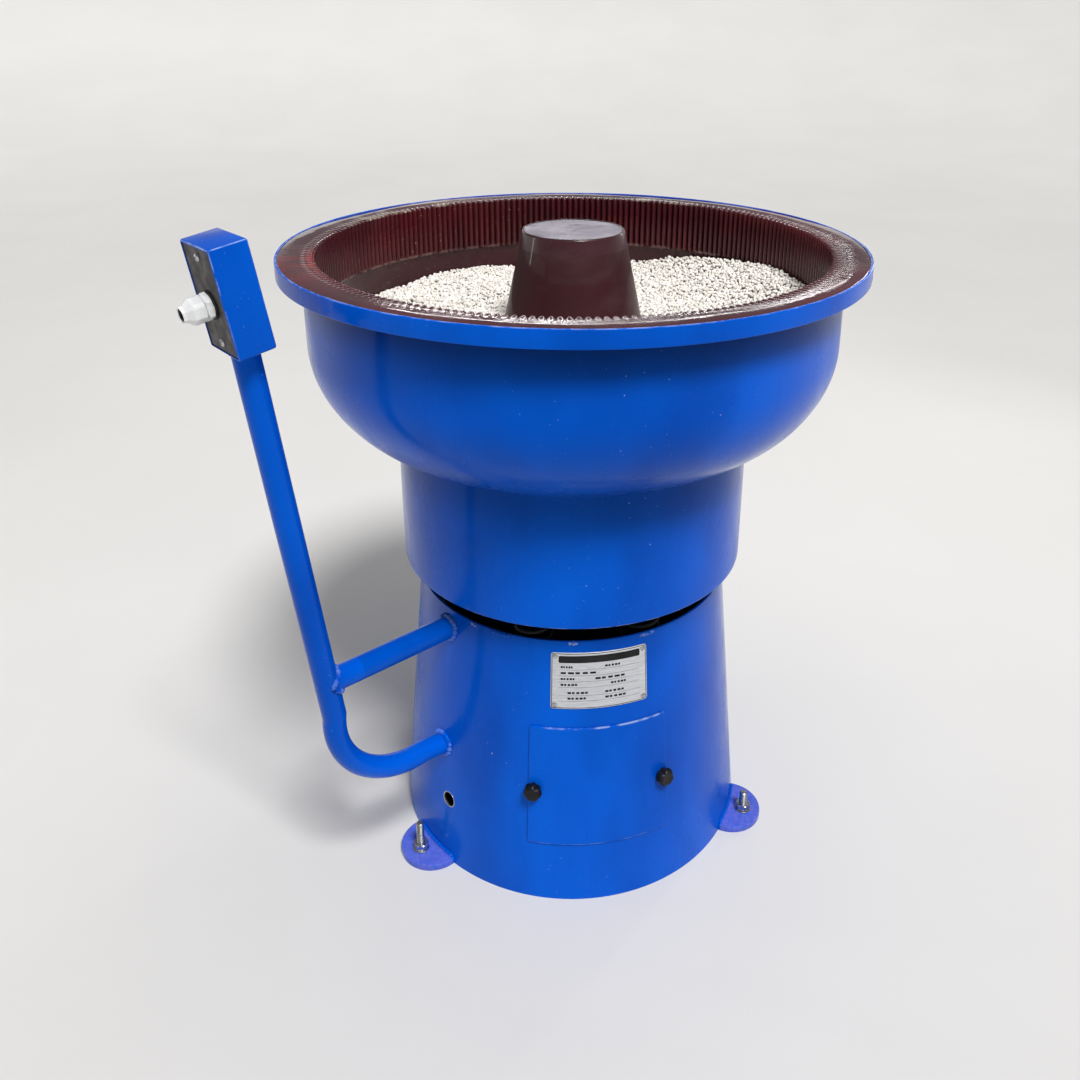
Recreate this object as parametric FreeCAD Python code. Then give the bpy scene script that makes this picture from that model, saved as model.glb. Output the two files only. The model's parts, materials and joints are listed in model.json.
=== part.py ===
import FreeCAD, Part
import math
import os

# Vibratory rock tumbler: a round polyurethane-lined bowl that shakes on a ring of
# coil springs above a conical steel base, driven by a vertical motor with eccentric
# weights on both ends of its shaft. Millimetres, +Z up, front face towards -Y.
# The origin is on the bowl's axis, on the floor.

Vec = FreeCAD.Vector
ORIGIN = Vec(0, 0, 0)
X_AXIS = Vec(1, 0, 0)
Y_AXIS = Vec(0, 1, 0)
Z_AXIS = Vec(0, 0, 1)

# ---- driving dimensions: bowl ----
RIM_R = 340.0            # outer radius of the rim band
RIM_TOP = 764.0          # height of the flat rim above the floor
RIM_BAND_H = 19.0        # depth of the band round the rim
RIM_BAND_T = 3.0
RIM_PLATE_T = 4.0
LINER_WALL_R = 302.0     # inside radius of the lining below the ribbed band
RIB_TIP_R = 297.5        # inside radius over the ribs
RIB_BAND_H = 67.0        # height of the ribbed band below the rim
LIP_R = 304.0            # inner edge of the flat rim
LINER_T = 7.0
STEEL_T = 4.0
RIM_LINER_T = 3.0
BOND_GAP = 0.1           # clearance between bonded or welded neighbours
TROUGH_R = 157.0         # radius at the lowest ring of the trough
TROUGH_Z = 543.0         # height of that lowest ring
WALL_BEND_Z = 665.0      # where the straight wall starts to curve under
CONE_TOP_R = 60.0
CONE_TOP_Z = 780.0
CONE_SLOPE = 0.209       # growth of the cone's radius per unit of depth
CONE_CAP_T = 6.0
CONE_CAP_R = 52.5
CONE_CAP_DROP = 1.0      # the cap sits this far below the lining's top
RIB_LEAD = 3.0           # height over which the ribs rise from the wall
RIB_TOP_SLOPE_H = 6.0    # height over which the ribs lean back to the lip
LIP_BEVEL = 2.4

# ---- driving dimensions: media ----
MEDIA_LEVEL = 684.0      # mean height of the media at the axis
MEDIA_TILT = 3.6         # slope of the heap, degrees
MEDIA_HIGH_AZ = 105.0    # azimuth of the higher side
MEDIA_GAP = 0.5

# ---- driving dimensions: skirt and motor plate ----
SKIRT_R = 215.0
SKIRT_T = 4.0
SKIRT_BOTTOM = 377.0
PLATE_Z = 446.0          # underside of the motor plate
PLATE_T = 10.0
PLATE_HOLE_R = 88.0
GUSSET_COUNT = 6
GUSSET_T = 6.0
GUSSET_IN_R = 140.0

# ---- driving dimensions: base ----
BASE_BOTTOM_R = 228.0
BASE_TOP_R = 195.5
BASE_H = 347.5
BASE_T = 3.0
BASE_RING_TOP = 326.0
BASE_RING_T = 8.0
BASE_RING_IN_R = 125.0
FOOT_AZIMUTHS = (-60.0, 60.0, 180.0)
FOOT_R = 41.0
FOOT_T = 8.5
FOOT_CENTRE_R = 229.5
STUD_CIRCLE_R = 248.0
STUD_R = 5.0             # thread, above the nut
STUD_SHANK_R = 4.5       # pitch radius, inside the nut and the pad
STUD_HEIGHTS = (49.0, 36.0, 45.0)  # at the feet above; the studs stand at odd heights
STUD_CHAMFER = 1.0
NUT_AF = 17.0
NUT_T = 8.0
WASHER_R = 10.5
WASHER_T = 2.0

# ---- driving dimensions: springs ----
SPRING_COUNT = 8
SPRING_CIRCLE_R = 165.0
SPRING_R = 20.0          # mean coil radius
SPRING_WIRE_R = 3.0
SPRING_TURNS = 7.0
SEAT_R = 24.0
SEAT_T = 3.0
SEAT_BOSS_R = 15.5
SEAT_BOSS_H = 12.0

# ---- driving dimensions: access cover ----
COVER_HALF_ANGLE = 23.0
COVER_LOW = 78.5
COVER_HIGH = 237.5
COVER_T = 2.0
COVER_GAP = 0.4
OPENING_HALF_ANGLE = 18.5
OPENING_MARGIN = 16.5    # shell left above and below the opening, under the cover
KNOB_AZIMUTH = 21.2
KNOB_Z = 153.0
KNOB_R = 11.0
KNOB_T = 12.0
KNOB_LOBES = 8
KNOB_LOBE_R = 3.2
KNOB_FOOT_GAP = 0.6
KNOB_CROWN_T = 3.0       # solid left above the stud's end
KNOB_STUD_R = 3.0
KNOB_STUD_TAIL = 3.0
KNOB_HOLE_R = 6.0        # shell hole, wide enough for the cover to pull straight off
RUN_CLEAR = 0.05

# ---- driving dimensions: nameplate and cable hole ----
PLATE_HALF_ANGLE = 16.3
NAMEPLATE_LOW = 262.0
NAMEPLATE_HIGH = 334.0
NAMEPLATE_T = 0.8
RIVET_R = 3.2
RIVET_DOME_ANGLE = 50.0    # latitude at which the head's dome is cut off
RIVET_INSET = 5.0
CABLE_HOLE_AZ = -53.5
CABLE_HOLE_Z = 87.0
CABLE_HOLE_R = 10.0

# ---- driving dimensions: control arm and switch box ----
ARM_AZIMUTH = -58.0
PIPE_R = 13.6
PIPE_T = 2.6
ARM_CORNER = (342.0, 176.7)    # radius and height where the arm's two legs would meet
ARM_LEAN = 7.2
ARM_BEND_R = 100.0
ARM_TOP_Z = 731.0
ARM_TAIL = 14.0          # pipe left past the base's surface before it is trimmed
STRUT_Z = 322.5
BOX_W = 63.0
BOX_D = 38.0
BOX_H = 107.0
BOX_WALL = 2.0
BOX_LEAN = 9.4
BOX_BOTTOM_Z = 724.0
BOX_BOTTOM_R = 411.0
BOX_COVER_T = 2.0
BOX_COVER_RECESS = 1.0
BOX_COVER_GAP = 0.4
BOX_SCREW_HALF_SPAN = 41.6
BOX_SCREW_R = 2.0
BOX_SCREW_HEAD_R = 4.0
BOX_SCREW_HEAD_H = 2.2
BOX_SCREW_L = 7.0
BOX_LUG_D = 6.0
BOX_LUG_W = 10.0
GLAND_DROP = 4.0         # the gland sits this far below the cover's middle
GLAND_THREAD_R = 10.0
GLAND_BORE_R = 6.0
GLAND_AF = 24.0
GLAND_FLANGE_T = 6.5
GLAND_WASHER_R = 14.0
GLAND_WASHER_T = 2.0
GLAND_NECK_R = 9.0
GLAND_NECK_L = 9.0
GLAND_TAIL_L = 10.0
GLAND_CAP_GAP = 0.4
GLAND_CAP_L = 20.0
GLAND_CAP_GRIP_L = 11.0
GLAND_CAP_AF = 25.0
GLAND_CAP_CORNER = 0.9   # how far the cap's rounded corners stand past its flats
GLAND_CAP_TIP_R = 9.0
LOCKNUT_AF = 26.0
LOCKNUT_T = 5.0
CONTACT_BLOCK = (13.0, 34.0, 74.0)
CONTACT_BLOCK_BACK = 9.0    # from the box's bowl side to the block
BUTTON_R = 10.5
BUTTON_OFFSET = 21.0
BEZEL_R = 14.5
BEZEL_T = 3.0
BEZEL_GAP = 0.4
BUTTON_PROUD = {"start": 2.5, "stop": 6.5}
BUTTON_STEM = 2.0
BUTTON_EDGE_R = 1.0

# ---- driving dimensions: motor and weights ----
MOTOR_R = 100.0
MOTOR_BORE_R = 88.0
MOTOR_BOTTOM = 262.0
MOTOR_FLANGE_R = 138.0
MOTOR_FLANGE_T = 12.0
MOTOR_NECK_R = 85.0
MOTOR_NECK_T = 8.0
MOTOR_NECK_TOP = 502.0
MOTOR_FINS = 24
MOTOR_FIN_H = 6.0
MOTOR_FIN_T = 3.0
MOTOR_FIN_LOW = 282.0
MOTOR_FIN_HIGH = 386.0
MOTOR_FIN_FREE = 25.0    # half angle left bare behind the terminal box
END_COVER_T = 24.0
END_COVER_FLOOR = 3.0
SEAT_WALL_TOP = 470.0    # lower edge of the upper bearing's seat
UPPER_BEARING_Z = 477.0
BOLT_COUNT = 8
BOLT_CIRCLE_R = 124.0
BOLT_R = 5.0
BOLT_AF = 16.0
BOLT_HEAD_T = 7.0
BOLT_NUT_T = 8.0
BOLT_TAIL = 14.0
TERMINAL_LOW = 264.0
TERMINAL_H = 40.0
TERMINAL_W = 70.0
TERMINAL_D = 36.0
TERMINAL_WALL = 4.0
TERMINAL_LID_T = 3.0
BEARING_R = 36.0
BEARING_T = 20.0
SHAFT_R = 17.5
SHAFT_HOLE_GAP = 1.0
SHAFT_CHAMFER = 1.5
SHAFT_BOTTOM = 146.0
SHAFT_TOP = 552.0
CORE_R = 58.0
STATOR_IN_R = 60.0
CORE_LOW = 296.0
CORE_HIGH = 416.0
WEIGHT_T = 26.0
UPPER_WEIGHT_R = 80.0
UPPER_WEIGHT_Z = 510.0
FIXED_WEIGHT_Z = 200.0
LEAD_WEIGHT_Z = 172.0
LOWER_WEIGHT_R = 86.0
HUB_R = 32.0
WEIGHT_SPAN = 170.0      # angle of each weight's sector
CLAMP_SCREW_R = 6.0
CLAMP_SCREW_L = 9.0


# ---- helpers ----
def save(name, shape):
    shape.exportStep("parts/" + name + ".step")


def cylinder(radius, z_low, z_high):
    return Part.makeCylinder(radius, z_high - z_low, Vec(0, 0, z_low))


def ring(outer_r, inner_r, z_low, z_high):
    return cylinder(outer_r, z_low, z_high).cut(cylinder(inner_r, z_low - 1, z_high + 1))


def turned(edges_or_points, angle=360.0, start_azimuth=-90.0):
    """Revolve a closed outline drawn as (radius, height) round the axis."""
    if isinstance(edges_or_points[0], tuple):
        corners = [Vec(r, 0, z) for r, z in edges_or_points]
        wire = Part.makePolygon(corners + [corners[0]])
    else:
        wire = Part.Wire(edges_or_points)
    solid = Part.Face(wire).revolve(ORIGIN, Z_AXIS, angle)
    solid.rotate(ORIGIN, Z_AXIS, start_azimuth - 90.0)
    return solid


def to_azimuth(shape, azimuth):
    """Turn a shape built along +X so that it points to an azimuth (0 is the front)."""
    placed = shape.copy()
    placed.rotate(ORIGIN, Z_AXIS, azimuth - 90.0)
    return placed


def around(shape, count, first=0.0):
    """Copies of a shape built along +X, spaced evenly round the axis."""
    return [to_azimuth(shape, first + i * 360.0 / count) for i in range(count)]


def hexagon(across_flats, z_low, z_high):
    corner_r = across_flats / math.sqrt(3)
    corners = [Vec(corner_r * math.cos(math.radians(60 * i)),
                   corner_r * math.sin(math.radians(60 * i)), z_low) for i in range(7)]
    return Part.Face(Part.makePolygon(corners)).extrude(Vec(0, 0, z_high - z_low))


def base_r(z):
    """Outside radius of the base cone at a height."""
    return BASE_BOTTOM_R - (BASE_BOTTOM_R - BASE_TOP_R) * z / BASE_H


BASE_SLOPE = math.degrees(math.atan((BASE_BOTTOM_R - BASE_TOP_R) / BASE_H))


def on_base(shape, azimuth, z):
    """Stand a shape, built along +Z from the origin, on the base cone's surface."""
    placed = shape.copy()
    placed.rotate(ORIGIN, Y_AXIS, 90.0 - BASE_SLOPE)
    placed.translate(Vec(base_r(z), 0, z))
    return to_azimuth(placed, azimuth)


def cone_patch(z_low, z_high, half_angle, gap, thickness, azimuth=0.0):
    """A curved plate that lies on the base cone."""
    inner = gap
    outer = gap + thickness
    outline = [(base_r(z_low) + inner, z_low), (base_r(z_low) + outer, z_low),
               (base_r(z_high) + outer, z_high), (base_r(z_high) + inner, z_high)]
    return turned(outline, 2 * half_angle, azimuth - half_angle)


# ---- bowl profile ----
def trough_arc_radius(offset):
    """Radius of the arc between the trough's lowest ring and the cone."""
    slant = math.sqrt(1 + CONE_SLOPE ** 2)
    reach = TROUGH_R - CONE_TOP_R - CONE_SLOPE * (CONE_TOP_Z - TROUGH_Z)
    return reach / (slant - CONE_SLOPE) + offset


def bowl_edges(offset, wall_top, cone_top):
    """Edges from the wall's top down round the trough and up the cone.

    offset is measured from the lining's inner face into the wall."""
    slant = math.sqrt(1 + CONE_SLOPE ** 2)
    wall_r = LINER_WALL_R + offset
    arc_r = trough_arc_radius(offset)
    centre = Vec(TROUGH_R, 0, TROUGH_Z + trough_arc_radius(0))
    lowest = Vec(TROUGH_R, 0, TROUGH_Z - offset)
    bend = Vec(wall_r, 0, WALL_BEND_Z)
    wide = wall_r - TROUGH_R
    deep = WALL_BEND_Z - TROUGH_Z + offset
    middle = Vec(TROUGH_R + wide * math.cos(math.pi / 4), 0,
                 WALL_BEND_Z - deep * math.sin(math.pi / 4))
    if wide >= deep:
        ellipse = Part.Ellipse(Vec(wall_r, 0, WALL_BEND_Z), lowest, Vec(TROUGH_R, 0, WALL_BEND_Z))
    else:
        ellipse = Part.Ellipse(lowest, bend, Vec(TROUGH_R, 0, WALL_BEND_Z))
    start = ellipse.parameter(bend)
    end = ellipse.parameter(lowest)
    if ellipse.parameter(middle) < min(start, end) or ellipse.parameter(middle) > max(start, end):
        start, end = end, start
        end += 2 * math.pi
    low_curve = Part.ArcOfEllipse(ellipse, min(start, end), max(start, end)).toShape()
    normal = Vec(-1 / slant, 0, -CONE_SLOPE / slant)
    tangent = centre + normal * arc_r
    half_turn = math.atan2(normal.x, -normal.z) / 2
    halfway = centre + Vec(math.sin(half_turn), 0, -math.cos(half_turn)) * arc_r
    inner_arc = Part.Arc(lowest, halfway, tangent).toShape()
    cone_end = Vec(tangent.x - CONE_SLOPE * (cone_top - tangent.z), 0, cone_top)
    return [Part.makeLine(Vec(wall_r, 0, wall_top), bend), low_curve, inner_arc,
            Part.makeLine(tangent, cone_end)], cone_end


def bowl_layer(inner_offset, outer_offset, wall_top, cone_top):
    """A layer of the bowl between two offsets from the lining's face."""
    inner, inner_end = bowl_edges(inner_offset, wall_top, cone_top)
    outer, outer_end = bowl_edges(outer_offset, wall_top, cone_top)
    top = Part.makeLine(Vec(LINER_WALL_R + inner_offset, 0, wall_top),
                        Vec(LINER_WALL_R + outer_offset, 0, wall_top))
    return turned(Part.__sortEdges__(inner + outer + [top, Part.makeLine(inner_end, outer_end)]))


def bowl_solid(offset, wall_top):
    """Everything inside a bowl surface, up to a height, round the cone."""
    edges, cone_end = bowl_edges(offset, wall_top, wall_top)
    top = Part.makeLine(Vec(LINER_WALL_R + offset, 0, wall_top), cone_end)
    return turned(Part.__sortEdges__(edges + [top]))


# ---- bowl assembly ----
def outside_trough_ring(layer):
    """The wall and outer curve of a layer, down to the trough's lowest ring."""
    return layer.cut(cylinder(TROUGH_R, 0, 2 * RIM_TOP))


def inside_trough_ring(layer):
    """The cone of a layer, up from the trough's lowest ring."""
    return layer.common(cylinder(TROUGH_R - BOND_GAP, 0, 2 * RIM_TOP))


def steel_layer():
    return bowl_layer(LINER_T + BOND_GAP, LINER_T + STEEL_T, RIM_TOP - RIM_LINER_T - BOND_GAP,
                      CONE_TOP_Z - CONE_CAP_T)


def lining_layer():
    return bowl_layer(0, LINER_T, RIM_TOP, CONE_TOP_Z)


def bowl_liner():
    """The wall lining with its ribbed band, drawn at the ribs' tips."""
    band_low = RIM_TOP - RIB_BAND_H
    backed_r = LINER_WALL_R + LINER_T / 2
    ribbed_band = turned([(backed_r, band_low), (LINER_WALL_R, band_low),
                          (RIB_TIP_R, band_low + RIB_LEAD), (RIB_TIP_R, RIM_TOP - RIB_TOP_SLOPE_H),
                          (LIP_R, RIM_TOP), (backed_r, RIM_TOP)])
    corner = turned([(RIB_TIP_R, RIM_TOP + 1), (LIP_R + 1, RIM_TOP + 1), (LIP_R, RIM_TOP),
                     (LINER_WALL_R - 1, RIM_TOP - LIP_BEVEL)])
    wall = outside_trough_ring(lining_layer())
    return wall.cut(corner).fuse(ribbed_band).removeSplitter()


def rim_coat():
    """The flat rim's coating, between the wall lining and the steel band."""
    return ring(RIM_R - RIM_BAND_T - BOND_GAP, LINER_WALL_R + LINER_T + BOND_GAP,
                RIM_TOP - RIM_LINER_T, RIM_TOP)


def rim_band():
    return ring(RIM_R, RIM_R - RIM_BAND_T, RIM_TOP - RIM_BAND_H, RIM_TOP)


def rim_plate():
    top = RIM_TOP - RIM_LINER_T - BOND_GAP
    return ring(RIM_R - RIM_BAND_T - BOND_GAP, LINER_WALL_R + LINER_T + STEEL_T + BOND_GAP,
                top - RIM_PLATE_T, top)


def cone_cap():
    return cylinder(CONE_CAP_R - BOND_GAP, CONE_TOP_Z - CONE_CAP_T + BOND_GAP,
                    CONE_TOP_Z - CONE_CAP_DROP)


def media_load():
    fill = bowl_solid(-MEDIA_GAP, MEDIA_LEVEL + 60)
    half = 2 * RIM_R
    above = Part.makeBox(2 * half, 2 * half, half, Vec(-half, -half, 0))
    above.rotate(ORIGIN, Y_AXIS, -MEDIA_TILT)
    above = to_azimuth(above, MEDIA_HIGH_AZ)
    above.translate(Vec(0, 0, MEDIA_LEVEL))
    rib_space = ring(RIM_R, RIB_TIP_R - MEDIA_GAP, RIM_TOP - RIB_BAND_H - MEDIA_GAP, RIM_TOP)
    return fill.cut(above).cut(rib_space)


def under_bowl():
    """The bowl's outer solid, used to trim what is welded beneath it."""
    return bowl_solid(LINER_T + STEEL_T + BOND_GAP, RIM_TOP)


def skirt_shell():
    return ring(SKIRT_R, SKIRT_R - SKIRT_T, SKIRT_BOTTOM, WALL_BEND_Z).cut(under_bowl())


def motor_plate():
    plate = ring(SKIRT_R - SKIRT_T - BOND_GAP, PLATE_HOLE_R, PLATE_Z, PLATE_Z + PLATE_T)
    hole = Part.makeCylinder(BOLT_R + BOND_GAP, PLATE_T + 2, Vec(BOLT_CIRCLE_R, 0, PLATE_Z - 1))
    return plate.cut(Part.makeCompound(around(hole, BOLT_COUNT)))


def gussets():
    outer = SKIRT_R - SKIRT_T - 1
    low = PLATE_Z + PLATE_T + BOND_GAP
    plate = Part.makeBox(outer - GUSSET_IN_R, GUSSET_T, WALL_BEND_Z - low,
                         Vec(GUSSET_IN_R, -GUSSET_T / 2, low))
    trimmed = plate.cut(under_bowl())
    first_solid = min(trimmed.Solids, key=lambda solid: solid.BoundBox.ZMin)
    return Part.makeCompound(around(first_solid, GUSSET_COUNT, 22.5))


# ---- springs ----
SPRING_GROUPS = ("front_right", "back_right", "back_left", "front_left")


def spring_azimuth(index):
    return 20.0 + index * 360.0 / SPRING_COUNT


def spring(low, high):
    rise = high - low - 2 * SPRING_WIRE_R
    path = Part.makeHelix(rise / SPRING_TURNS, rise, SPRING_R)
    section = Part.Wire(Part.makeCircle(SPRING_WIRE_R, Vec(SPRING_R, 0, 0), Y_AXIS))
    coil = Part.Wire(path).makePipeShell([section], True, True)
    coil.translate(Vec(SPRING_CIRCLE_R, 0, low + SPRING_WIRE_R))
    return coil


def spring_seat(face_z, direction):
    """A dished plate with a boss that centres the end of a coil."""
    plate = cylinder(SEAT_R, 0, SEAT_T)
    boss = cylinder(SEAT_BOSS_R, SEAT_T, SEAT_T + SEAT_BOSS_H)
    seat = plate.fuse(boss).removeSplitter()
    if direction < 0:
        seat.rotate(ORIGIN, X_AXIS, 180)
    seat.translate(Vec(SPRING_CIRCLE_R, 0, face_z))
    return seat


# ---- base ----
def base_shell():
    outline = [(BASE_BOTTOM_R, 0), (BASE_TOP_R, BASE_H), (BASE_TOP_R - BASE_T, BASE_H),
               (BASE_BOTTOM_R - BASE_T, 0)]
    shell = turned(outline)
    opening = cone_patch(COVER_LOW + OPENING_MARGIN, COVER_HIGH - OPENING_MARGIN,
                         OPENING_HALF_ANGLE, -4 * BASE_T, 8 * BASE_T)
    drill = Part.makeCylinder(CABLE_HOLE_R, 12 * BASE_T, Vec(0, 0, -6 * BASE_T))
    holes = [on_base(drill, CABLE_HOLE_AZ, CABLE_HOLE_Z)]
    knob_drill = Part.makeCylinder(KNOB_HOLE_R, 12 * BASE_T, Vec(0, 0, -6 * BASE_T))
    for side in (-1, 1):
        holes.append(on_base(knob_drill, side * KNOB_AZIMUTH, KNOB_Z))
    return shell.cut(opening).cut(Part.makeCompound(holes))


def base_ring():
    low = BASE_RING_TOP - BASE_RING_T
    outer_low = base_r(low) - BASE_T - BOND_GAP
    outer_high = base_r(BASE_RING_TOP) - BASE_T - BOND_GAP
    return turned([(BASE_RING_IN_R, low), (outer_low, low), (outer_high, BASE_RING_TOP),
                   (BASE_RING_IN_R, BASE_RING_TOP)])


def foot_pad(azimuth):
    pad = Part.makeCylinder(FOOT_R, FOOT_T, Vec(FOOT_CENTRE_R, 0, 0))
    shell_space = Part.makeCone(BASE_BOTTOM_R + BOND_GAP, base_r(FOOT_T) + BOND_GAP, FOOT_T)
    hole = Part.makeCylinder(STUD_SHANK_R + BOND_GAP, FOOT_T, Vec(STUD_CIRCLE_R, 0, 0))
    return to_azimuth(pad.cut(shell_space).cut(hole), azimuth)


def foot_hardware(shapes):
    """One fastener for each foot, built on the axis and put at its foot."""
    placed = []
    for shape, azimuth in zip(shapes, FOOT_AZIMUTHS):
        moved = shape.copy()
        moved.translate(Vec(STUD_CIRCLE_R, 0, 0))
        placed.append(to_azimuth(moved, azimuth))
    return Part.makeCompound(placed)


NUT_LOW = FOOT_T + WASHER_T + BOND_GAP


def foot_stud(height):
    thread_low = NUT_LOW + NUT_T + 2 * BOND_GAP
    tip_r = STUD_R - STUD_CHAMFER
    return turned([(0, 0), (STUD_SHANK_R, 0), (STUD_SHANK_R, thread_low), (STUD_R, thread_low),
                   (STUD_R, height - STUD_CHAMFER), (tip_r, height), (0, height)])


def foot_nut():
    nut = hexagon(NUT_AF, NUT_LOW, NUT_LOW + NUT_T)
    return nut.cut(cylinder(STUD_SHANK_R + BOND_GAP, 0, max(STUD_HEIGHTS)))


def foot_washer():
    return ring(WASHER_R, STUD_R, FOOT_T + BOND_GAP / 2, FOOT_T + WASHER_T)


# ---- access cover ----
def cover_plate():
    plate = cone_patch(COVER_LOW, COVER_HIGH, COVER_HALF_ANGLE, COVER_GAP, COVER_T)
    drill = cylinder(KNOB_STUD_R + RUN_CLEAR, -KNOB_T, KNOB_T)
    holes = [on_base(drill, side * KNOB_AZIMUTH, KNOB_Z) for side in (-1, 1)]
    return plate.cut(Part.makeCompound(holes))


def knob_head():
    """A lobed hand knob, built along +Z with its foot just clear of the cover."""
    foot = COVER_GAP + COVER_T + KNOB_FOOT_GAP
    lobe_inset = KNOB_LOBE_R / 2
    body = cylinder(KNOB_R - lobe_inset, foot, foot + KNOB_T)
    lobe = Part.makeCylinder(KNOB_LOBE_R, KNOB_T - lobe_inset,
                             Vec(KNOB_R - KNOB_LOBE_R, 0, foot + lobe_inset / 2))
    for i in range(KNOB_LOBES):
        turned_lobe = lobe.copy()
        turned_lobe.rotate(ORIGIN, Z_AXIS, i * 360.0 / KNOB_LOBES)
        body = body.fuse(turned_lobe)
    stud_space = cylinder(KNOB_STUD_R + RUN_CLEAR, 0, foot + KNOB_T - KNOB_CROWN_T)
    return body.removeSplitter().cut(stud_space)


def knob_stud():
    low = -BASE_T - KNOB_STUD_TAIL
    return cylinder(KNOB_STUD_R, low, COVER_GAP + COVER_T + KNOB_T - KNOB_CROWN_T)


# ---- nameplate ----
def nameplate():
    return cone_patch(NAMEPLATE_LOW, NAMEPLATE_HIGH, PLATE_HALF_ANGLE, BOND_GAP, NAMEPLATE_T)


def nameplate_rivets():
    cut_off = math.radians(RIVET_DOME_ANGLE)
    dome_r = RIVET_R / math.cos(cut_off)
    centre = Vec(0, 0, NAMEPLATE_T + 2 * BOND_GAP - dome_r * math.sin(cut_off))
    head = Part.makeSphere(dome_r, centre, Z_AXIS, RIVET_DOME_ANGLE, 90, 360)
    angle = PLATE_HALF_ANGLE - math.degrees(RIVET_INSET / base_r(NAMEPLATE_LOW))
    heads = []
    for side in (-1, 1):
        for z in (NAMEPLATE_LOW + RIVET_INSET, NAMEPLATE_HIGH - RIVET_INSET):
            heads.append(on_base(head, side * angle, z))
    return Part.makeCompound(heads)


# ---- control arm: built in the plane y = 0 and then turned to its azimuth ----
def pipe_along(edges, radius, start, direction):
    section = Part.Wire(Part.makeCircle(radius, start, direction))
    return Part.Wire(edges).makePipeShell([section], True, True)


def control_arm():
    lean = math.radians(ARM_LEAN)
    upward = Vec(math.sin(lean), 0, math.cos(lean))
    inward = Vec(-math.cos(lean), 0, -math.sin(lean))
    corner = Vec(ARM_CORNER[0], 0, ARM_CORNER[1])
    top = corner + upward * ((ARM_TOP_Z - corner.z) / upward.z)
    bend_top = corner + upward * ARM_BEND_R
    bend_low = corner + inward * ARM_BEND_R
    centre = bend_top + inward * ARM_BEND_R
    middle = centre + (corner - centre).normalize() * ARM_BEND_R
    low_end = corner + inward * (corner.x - base_r(corner.z) + ARM_TAIL)
    edges = [Part.makeLine(top, bend_top), Part.Arc(bend_top, middle, bend_low).toShape(),
             Part.makeLine(bend_low, low_end)]
    outer = pipe_along(edges, PIPE_R, top, upward)
    inner = pipe_along(edges, PIPE_R - PIPE_T, top, upward)
    shell_space = Part.makeCone(BASE_BOTTOM_R + BOND_GAP, BASE_TOP_R + BOND_GAP, BASE_H)
    return to_azimuth(outer.cut(inner).cut(shell_space), ARM_AZIMUTH)


def arm_axis_r(z):
    return ARM_CORNER[0] + math.tan(math.radians(ARM_LEAN)) * (z - ARM_CORNER[1])


def arm_strut():
    inner_end = base_r(STRUT_Z) - PIPE_R
    outer_end = arm_axis_r(STRUT_Z)
    length = outer_end - inner_end
    tube = Part.makeCylinder(PIPE_R, length, Vec(inner_end, 0, STRUT_Z), X_AXIS)
    tube = tube.cut(Part.makeCylinder(PIPE_R - PIPE_T, length, Vec(inner_end, 0, STRUT_Z), X_AXIS))
    shell_space = Part.makeCone(BASE_BOTTOM_R + BOND_GAP, BASE_TOP_R + BOND_GAP, BASE_H)
    arm_space = Part.makeCylinder(PIPE_R + BOND_GAP, 12 * PIPE_R, Vec(0, 0, -6 * PIPE_R))
    arm_space.rotate(ORIGIN, Y_AXIS, ARM_LEAN)
    arm_space.translate(Vec(outer_end, 0, STRUT_Z))
    trimmed = tube.cut(shell_space).cut(arm_space)
    longest = max(trimmed.Solids, key=lambda solid: solid.Volume)
    return to_azimuth(longest, ARM_AZIMUTH)


def on_arm(shape):
    """Place a switch box piece, built round the box's bottom centre with +X outward."""
    placed = shape.copy()
    placed.rotate(ORIGIN, Y_AXIS, BOX_LEAN)
    placed.translate(Vec(BOX_BOTTOM_R, 0, BOX_BOTTOM_Z))
    return to_azimuth(placed, ARM_AZIMUTH)


def outward(shape, x, z):
    """Turn a shape built along +Z so that it points out of the box's cover."""
    placed = shape.copy()
    placed.rotate(ORIGIN, Y_AXIS, 90)
    placed.translate(Vec(x, 0, z))
    return placed


def inward(shape, x, z):
    """Turn a shape built along +Z so that it points out of the box's bowl side."""
    placed = shape.copy()
    placed.rotate(ORIGIN, Y_AXIS, -90)
    placed.translate(Vec(x, 0, z))
    return placed


BOX_FACE_X = BOX_D / 2
COVER_X = BOX_FACE_X - BOX_COVER_RECESS       # outer face of the cover plate
GLAND_Z = BOX_H / 2 - GLAND_DROP
BUTTON_HEIGHTS = {"start": BOX_H / 2 + BUTTON_OFFSET, "stop": BOX_H / 2 - BUTTON_OFFSET}


def drill_through(radius):
    """A short cutter on the Z axis, long enough to pass one wall both ways."""
    return cylinder(radius, -5 * BOX_WALL, 5 * BOX_WALL)


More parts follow.
